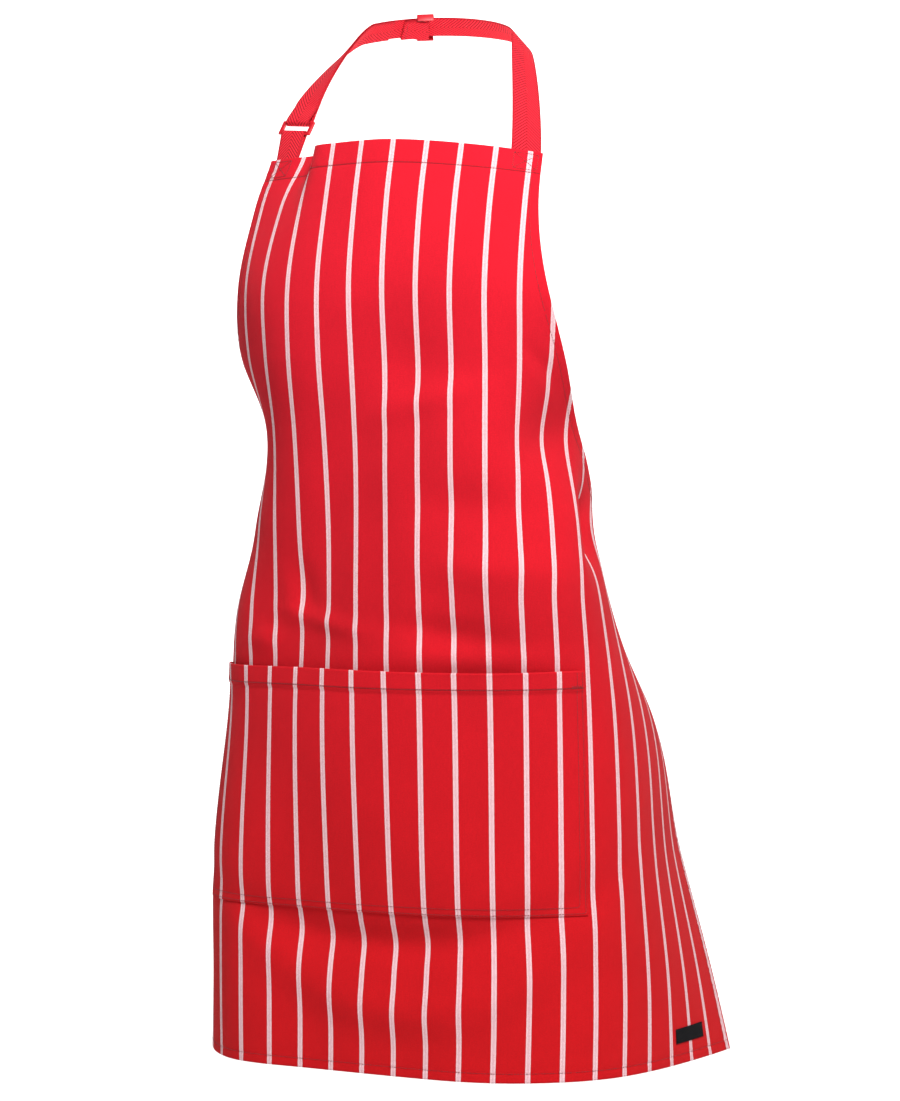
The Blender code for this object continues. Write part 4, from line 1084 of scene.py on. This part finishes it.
def make_tab():
    """Tape folded round the ring's lower bar and sewn inside the bib's corner."""
    heights = np.linspace(SEWN_LENGTH, 0.0, 9)
    outer = [bib_station(-TAB_U, v, TAPE_OFFSET) for v in heights]
    inner = [bib_station(-TAB_U, v, TAPE_OFFSET - DOUBLED_OFFSET) for v in heights[::-1]]
    shares = np.arange(10) / 10

    def between(bib, side, t):
        """Station part of the way t from the bib to the ring's bar."""
        point = bib[0] * (1 - t) + (RING_LOW + RING_NORMAL * (side * TAB_RADIUS)) * t
        return point, unit(bib[1] * (1 - t) + RING_ACROSS * t), None

    stations = outer + [between(outer[-1], 1, 1 - t) for t in shares[::-1]]
    stations += [(point, RING_ACROSS, None) for point in half_turn(RING_LOW, RING_UP, TAB_RADIUS)]
    stations += [between(inner[0], -1, 1 - t) for t in shares] + inner
    ribbon("ring_tab_tape", dress_planar(stations), TAPE_WIDTH, ["ring_tab"])


def make_box_stitches():
    """Squares of stitches with a cross in each, seen on the panel's outer face."""
    inset = 0.003
    deep = SEWN_LENGTH / 2
    tie_u = APRON_HALF_WIDTH - deep - 0.001
    for node, u_mid, v_mid, half_u, half_v in (
            ("strap_box_stitch", STRAP_U, deep, TAPE_WIDTH / 2, deep),
            ("tab_box_stitch", -TAB_U, deep, TAPE_WIDTH / 2, deep),
            ("tie_box_stitch_left", tie_u, TIE_V, deep, TIE_WIDTH / 2),
            ("tie_box_stitch_right", -tie_u, TIE_V, deep, TIE_WIDTH / 2)):
        corners = [(u_mid + x * (half_u - inset), v_mid + y * (half_v - inset))
                   for x, y in ((-1, -1), (1, -1), (1, 1), (-1, 1))]
        lines = [corners + corners[:1], (corners[0], corners[2]), (corners[1], corners[3])]
        stitches(node + "_thread", [seam_run(line(*path), STITCH_LIFT, 0.0026) for path in lines], [node])


# ---------------------------------------------------------------- fittings

def make_fitting(name, node, body, edge):
    """Moulded fitting: the CAD node's own shape with its edges rounded."""
    mesh = frame["nodes"][node].data.copy()
    mesh.name = name
    shape = bmesh.new()
    shape.from_mesh(mesh)
    bmesh.ops.remove_doubles(shape, verts=shape.verts, dist=0.00002)
    bmesh.ops.dissolve_limit(shape, angle_limit=math.radians(2), verts=shape.verts, edges=shape.edges)
    sharp = [e for e in shape.edges if len(e.link_faces) == 2 and e.calc_face_angle(0) > math.radians(30)]
    bmesh.ops.bevel(shape, geom=sharp, offset=edge, segments=3, profile=0.5, affect="EDGES")
    for face in shape.faces:
        face.smooth = True
    shape.to_mesh(mesh)
    shape.free()
    mesh.materials.clear()
    mesh.materials.append(MATERIALS["hardware"])
    piece = place_object(name, mesh)
    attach(piece, body)
    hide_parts(node)


# ---------------------------------------------------------------- waist ties

def knot_centre():
    corners = [worn(side * APRON_HALF_WIDTH, TIE_V)[0] for side in (-1, 1)]
    return sum(corners) / 2 + np.array([0, KNOT_SETBACK, -0.004])


def make_knot():
    """Rounded knot, pinched where the crossed straps bite into it."""
    centre = knot_centre()
    rings, sides = 22, 36
    points, flat = [], []
    for r in range(rings + 1):
        tilt = math.pi * r / rings - math.pi / 2
        for s in range(sides):
            turn = 2 * math.pi * s / sides
            ball = np.array([math.cos(tilt) * math.cos(turn), math.cos(tilt) * math.sin(turn),
                             math.sin(tilt)])
            ball = np.sign(ball) * np.abs(ball) ** 0.75
            groove = 0.10 * math.exp(-((ball[0] - 0.45 * ball[2] - 0.1) / 0.10) ** 2)
            groove += 0.07 * math.exp(-((ball[0] + 0.35 * ball[2] + 0.4) / 0.10) ** 2)
            points.append(centre + ball * (1 - groove) * np.array(KNOT_SIZE) / 2)
            flat.append((ball[0] * 0.012, ball[2] * 0.012 + ball[1] * 0.01))
    piece = add_piece("waist_knot_tape", points, ring_faces(rings, sides), flat, "tape",
                      nodes=["waist_knot"])
    shape = bmesh.new()
    shape.from_mesh(piece.data)
    bmesh.ops.remove_doubles(shape, verts=shape.verts, dist=0.00005)
    shape.to_mesh(piece.data)
    shape.free()


# A bow loop's middle line, as part of its length and depth behind the knot's middle.
BOW_OUTLINE = ((0.0, 0.010), (0.3, 0.016), (0.6, 0.018), (0.85, 0.016), (0.96, 0.012), (1.0, 0.008),
               (0.96, 0.004), (0.85, 0.001), (0.6, 0.0), (0.3, 0.0), (0.0, 0.004))


def make_tie(side, word):
    """One waist tie: the run from the apron's corner, its loop of the bow, and its hanging tail."""
    centre = knot_centre()
    half_knot = KNOT_SIZE[0] / 2 + 0.002
    up = np.array([0.0, 0.0, 1.0])
    sewn = []
    for u in np.linspace(APRON_HALF_WIDTH - SEWN_LENGTH, APRON_HALF_WIDTH + 0.001, 10):
        point, normal = worn(side * u, TIE_V)
        climb = unit(worn(side * u, TIE_V - 0.005)[0] - worn(side * u, TIE_V + 0.005)[0])
        sewn.append((point + normal * TIE_OFFSET, climb, normal))
    start = sewn[-1][0]
    heading = unit(start - sewn[-2][0])
    end = centre + np.array([side * half_knot, 0, 0])
    reach = np.linalg.norm(end - start)
    run = hermite(start, heading * reach, end, np.array([-side * reach, 0, 0]), 24)
    stations = sewn[:-1] + dress(run, sewn[-1][1], up)
    ribbon("waist_tie_tape_" + word, dress_planar(stations), TIE_WIDTH, ["waist_tie_" + word])

    out = np.array([side * math.cos(BOW_DROOP), 0, -math.sin(BOW_DROOP)])
    back = np.array([0, 1, 0])
    loop_width = np.array([side * math.sin(BOW_DROOP), 0, math.cos(BOW_DROOP)])
    smooth = smooth_line(np.array(BOW_OUTLINE), 60)
    loop = [centre + out * (half_knot + t * BOW_LENGTH) + back * (depth + 0.001) for t, depth in smooth]
    ribbon("waist_bow_tape_" + word, dress(np.array(loop), loop_width, loop_width), TIE_WIDTH,
           ["waist_bow_" + word])

    start = centre + np.array([side * (TIE_WIDTH / 2 + 0.001), -0.005, -KNOT_SIZE[2] / 2 - 0.003])
    finish = start + np.array([side * TAIL_SPREAD, -0.004, -TAIL_LENGTH])
    tail = hermite(start, np.array([0, -0.01, -TAIL_LENGTH * 0.8]), finish,
                   np.array([side * TAIL_SPREAD, 0.02, -TAIL_LENGTH]), 70)
    across = np.array([side, 0, 0])
    ribbon("waist_tail_tape_" + word, dress(tail, across, across), TIE_WIDTH, ["waist_tail_" + word])


def smooth_line(points, count):
    """Catmull-Rom curve through points."""
    padded = np.concatenate([[2 * points[0] - points[1]], points, [2 * points[-1] - points[-2]]])
    where = np.linspace(0, len(points) - 1.000001, count)
    k = where.astype(int)
    t = (where - k)[:, None]
    a, b, c, d = (padded[k + i] for i in range(4))
    return 0.5 * (2 * b + (c - a) * t + (2 * a - 5 * b + 4 * c - d) * t ** 2
                  + (3 * b - a - 3 * c + d) * t ** 3)


# ---------------------------------------------------------------- labels

def make_labels():
    for name, corners, low, slot in (("skirt_label", SKIRT_LABEL, SEWN_GAP * 0.4, "black_label"),
                                     ("care_label", CARE_LABEL, -CLOTH - SEWN_GAP - LABEL, "white_label")):
        u, v, faces = grid_cut(graded(corners[:2], (0.0012,)), graded(corners[2:], (0.0012,)))
        cloth_body(name + "_ribbon", u, v, faces, low, low + LABEL, slot, [name], rim=0.0002)


# ---------------------------------------------------------------- camera, lights and stage

CAMERA_AZIMUTH = math.radians(27)
CAMERA_DISTANCE = 2.5
SENSOR_WIDTH = 36.0
LENS = 79.06
LENS_SHIFT = (0.0109, -0.0277)


def make_camera():
    data = bpy.data.cameras.new("camera")
    data.sensor_width = SENSOR_WIDTH
    data.lens = LENS
    data.shift_x, data.shift_y = LENS_SHIFT
    camera = place_object("camera", data)
    place = np.array([math.sin(CAMERA_AZIMUTH), -math.cos(CAMERA_AZIMUTH), 0.0]) * CAMERA_DISTANCE
    camera.location = (place - ORIGIN).tolist()
    camera.rotation_euler = (math.pi / 2, 0, CAMERA_AZIMUTH)
    bpy.context.scene.camera = camera


def make_light(name, place, size, power, target):
    data = bpy.data.lights.new(name, "AREA")
    data.shape = "RECTANGLE"
    data.size, data.size_y = size
    data.energy = power
    light = place_object(name, data)
    light.location = place
    light.visible_camera = False
    light.rotation_euler = (Vector(target) - Vector(place)).to_track_quat("-Z", "Y").to_euler()


FLOOR_LEVEL = -1.48


def make_stage():
    """Pale floor that curves up into a plain backdrop all round."""
    angles = np.linspace(0, math.pi / 2, 12)
    profile = [(4.0 + math.sin(a) * 1.5, (1 - math.cos(a)) * 1.5) for a in angles]
    profile.append((5.5, 5.0))
    sides = 64
    points = []
    for radius, height in profile:
        for a in np.linspace(0, 2 * math.pi, sides, endpoint=False):
            points.append((radius * math.cos(a), radius * math.sin(a), FLOOR_LEVEL + height))
    faces = [face[::-1] for face in ring_faces(len(profile) - 1, sides)]
    faces.append(tuple(range(sides)))
    mesh = bpy.data.meshes.new("floor")
    mesh.from_pydata(points, [], faces)
    material = bpy.data.materials.new("floor")
    material.use_nodes = True
    shader = material.node_tree.nodes["Principled BSDF"]
    shader.inputs["Base Color"].default_value = (0.88, 0.88, 0.88, 1.0)
    shader.inputs["Roughness"].default_value = 0.9
    mesh.materials.append(material)
    floor = bpy.data.objects.new("floor", mesh)
    bpy.context.scene.collection.objects.link(floor)


def make_world():
    world = bpy.data.worlds.new("studio")
    world.use_nodes = True
    background = world.node_tree.nodes["Background"]
    background.inputs["Color"].default_value = (1.0, 1.0, 1.0, 1.0)
    background.inputs["Strength"].default_value = 0.17
    bpy.context.scene.world = world
    bpy.context.scene.view_settings.view_transform = "Standard"


# ---------------------------------------------------------------- the whole scene

make_camera()
make_world()
make_stage()
make_light("key", (1.20, -1.42, 1.50), (0.8, 0.8), 112, (0.0, -0.05, -0.35))
make_light("neck", (0.0, -0.08, -0.32), (0.14, 0.14), 1.5, (0.0, -0.01, 0.0))
make_light("backdrop", (-1.2, 2.2, 1.9), (2.4, 1.0), 170, (-2.4, 4.8, -0.4))

panel, panel_area = make_panel()
hems = make_hems()
pocket, pocket_hem = make_pocket()
make_box_stitches()
make_labels()
make_neck_strap()
make_strap_return()
make_end_loop()
make_tab()
make_fitting("strap_slider_moulding", "strap_slider", "slider", 0.0008)
make_fitting("strap_ring_moulding", "strap_ring", "ring", 0.0006)
make_knot()
for tie_side, tie_word in SIDES:
    make_tie(tie_side, tie_word)
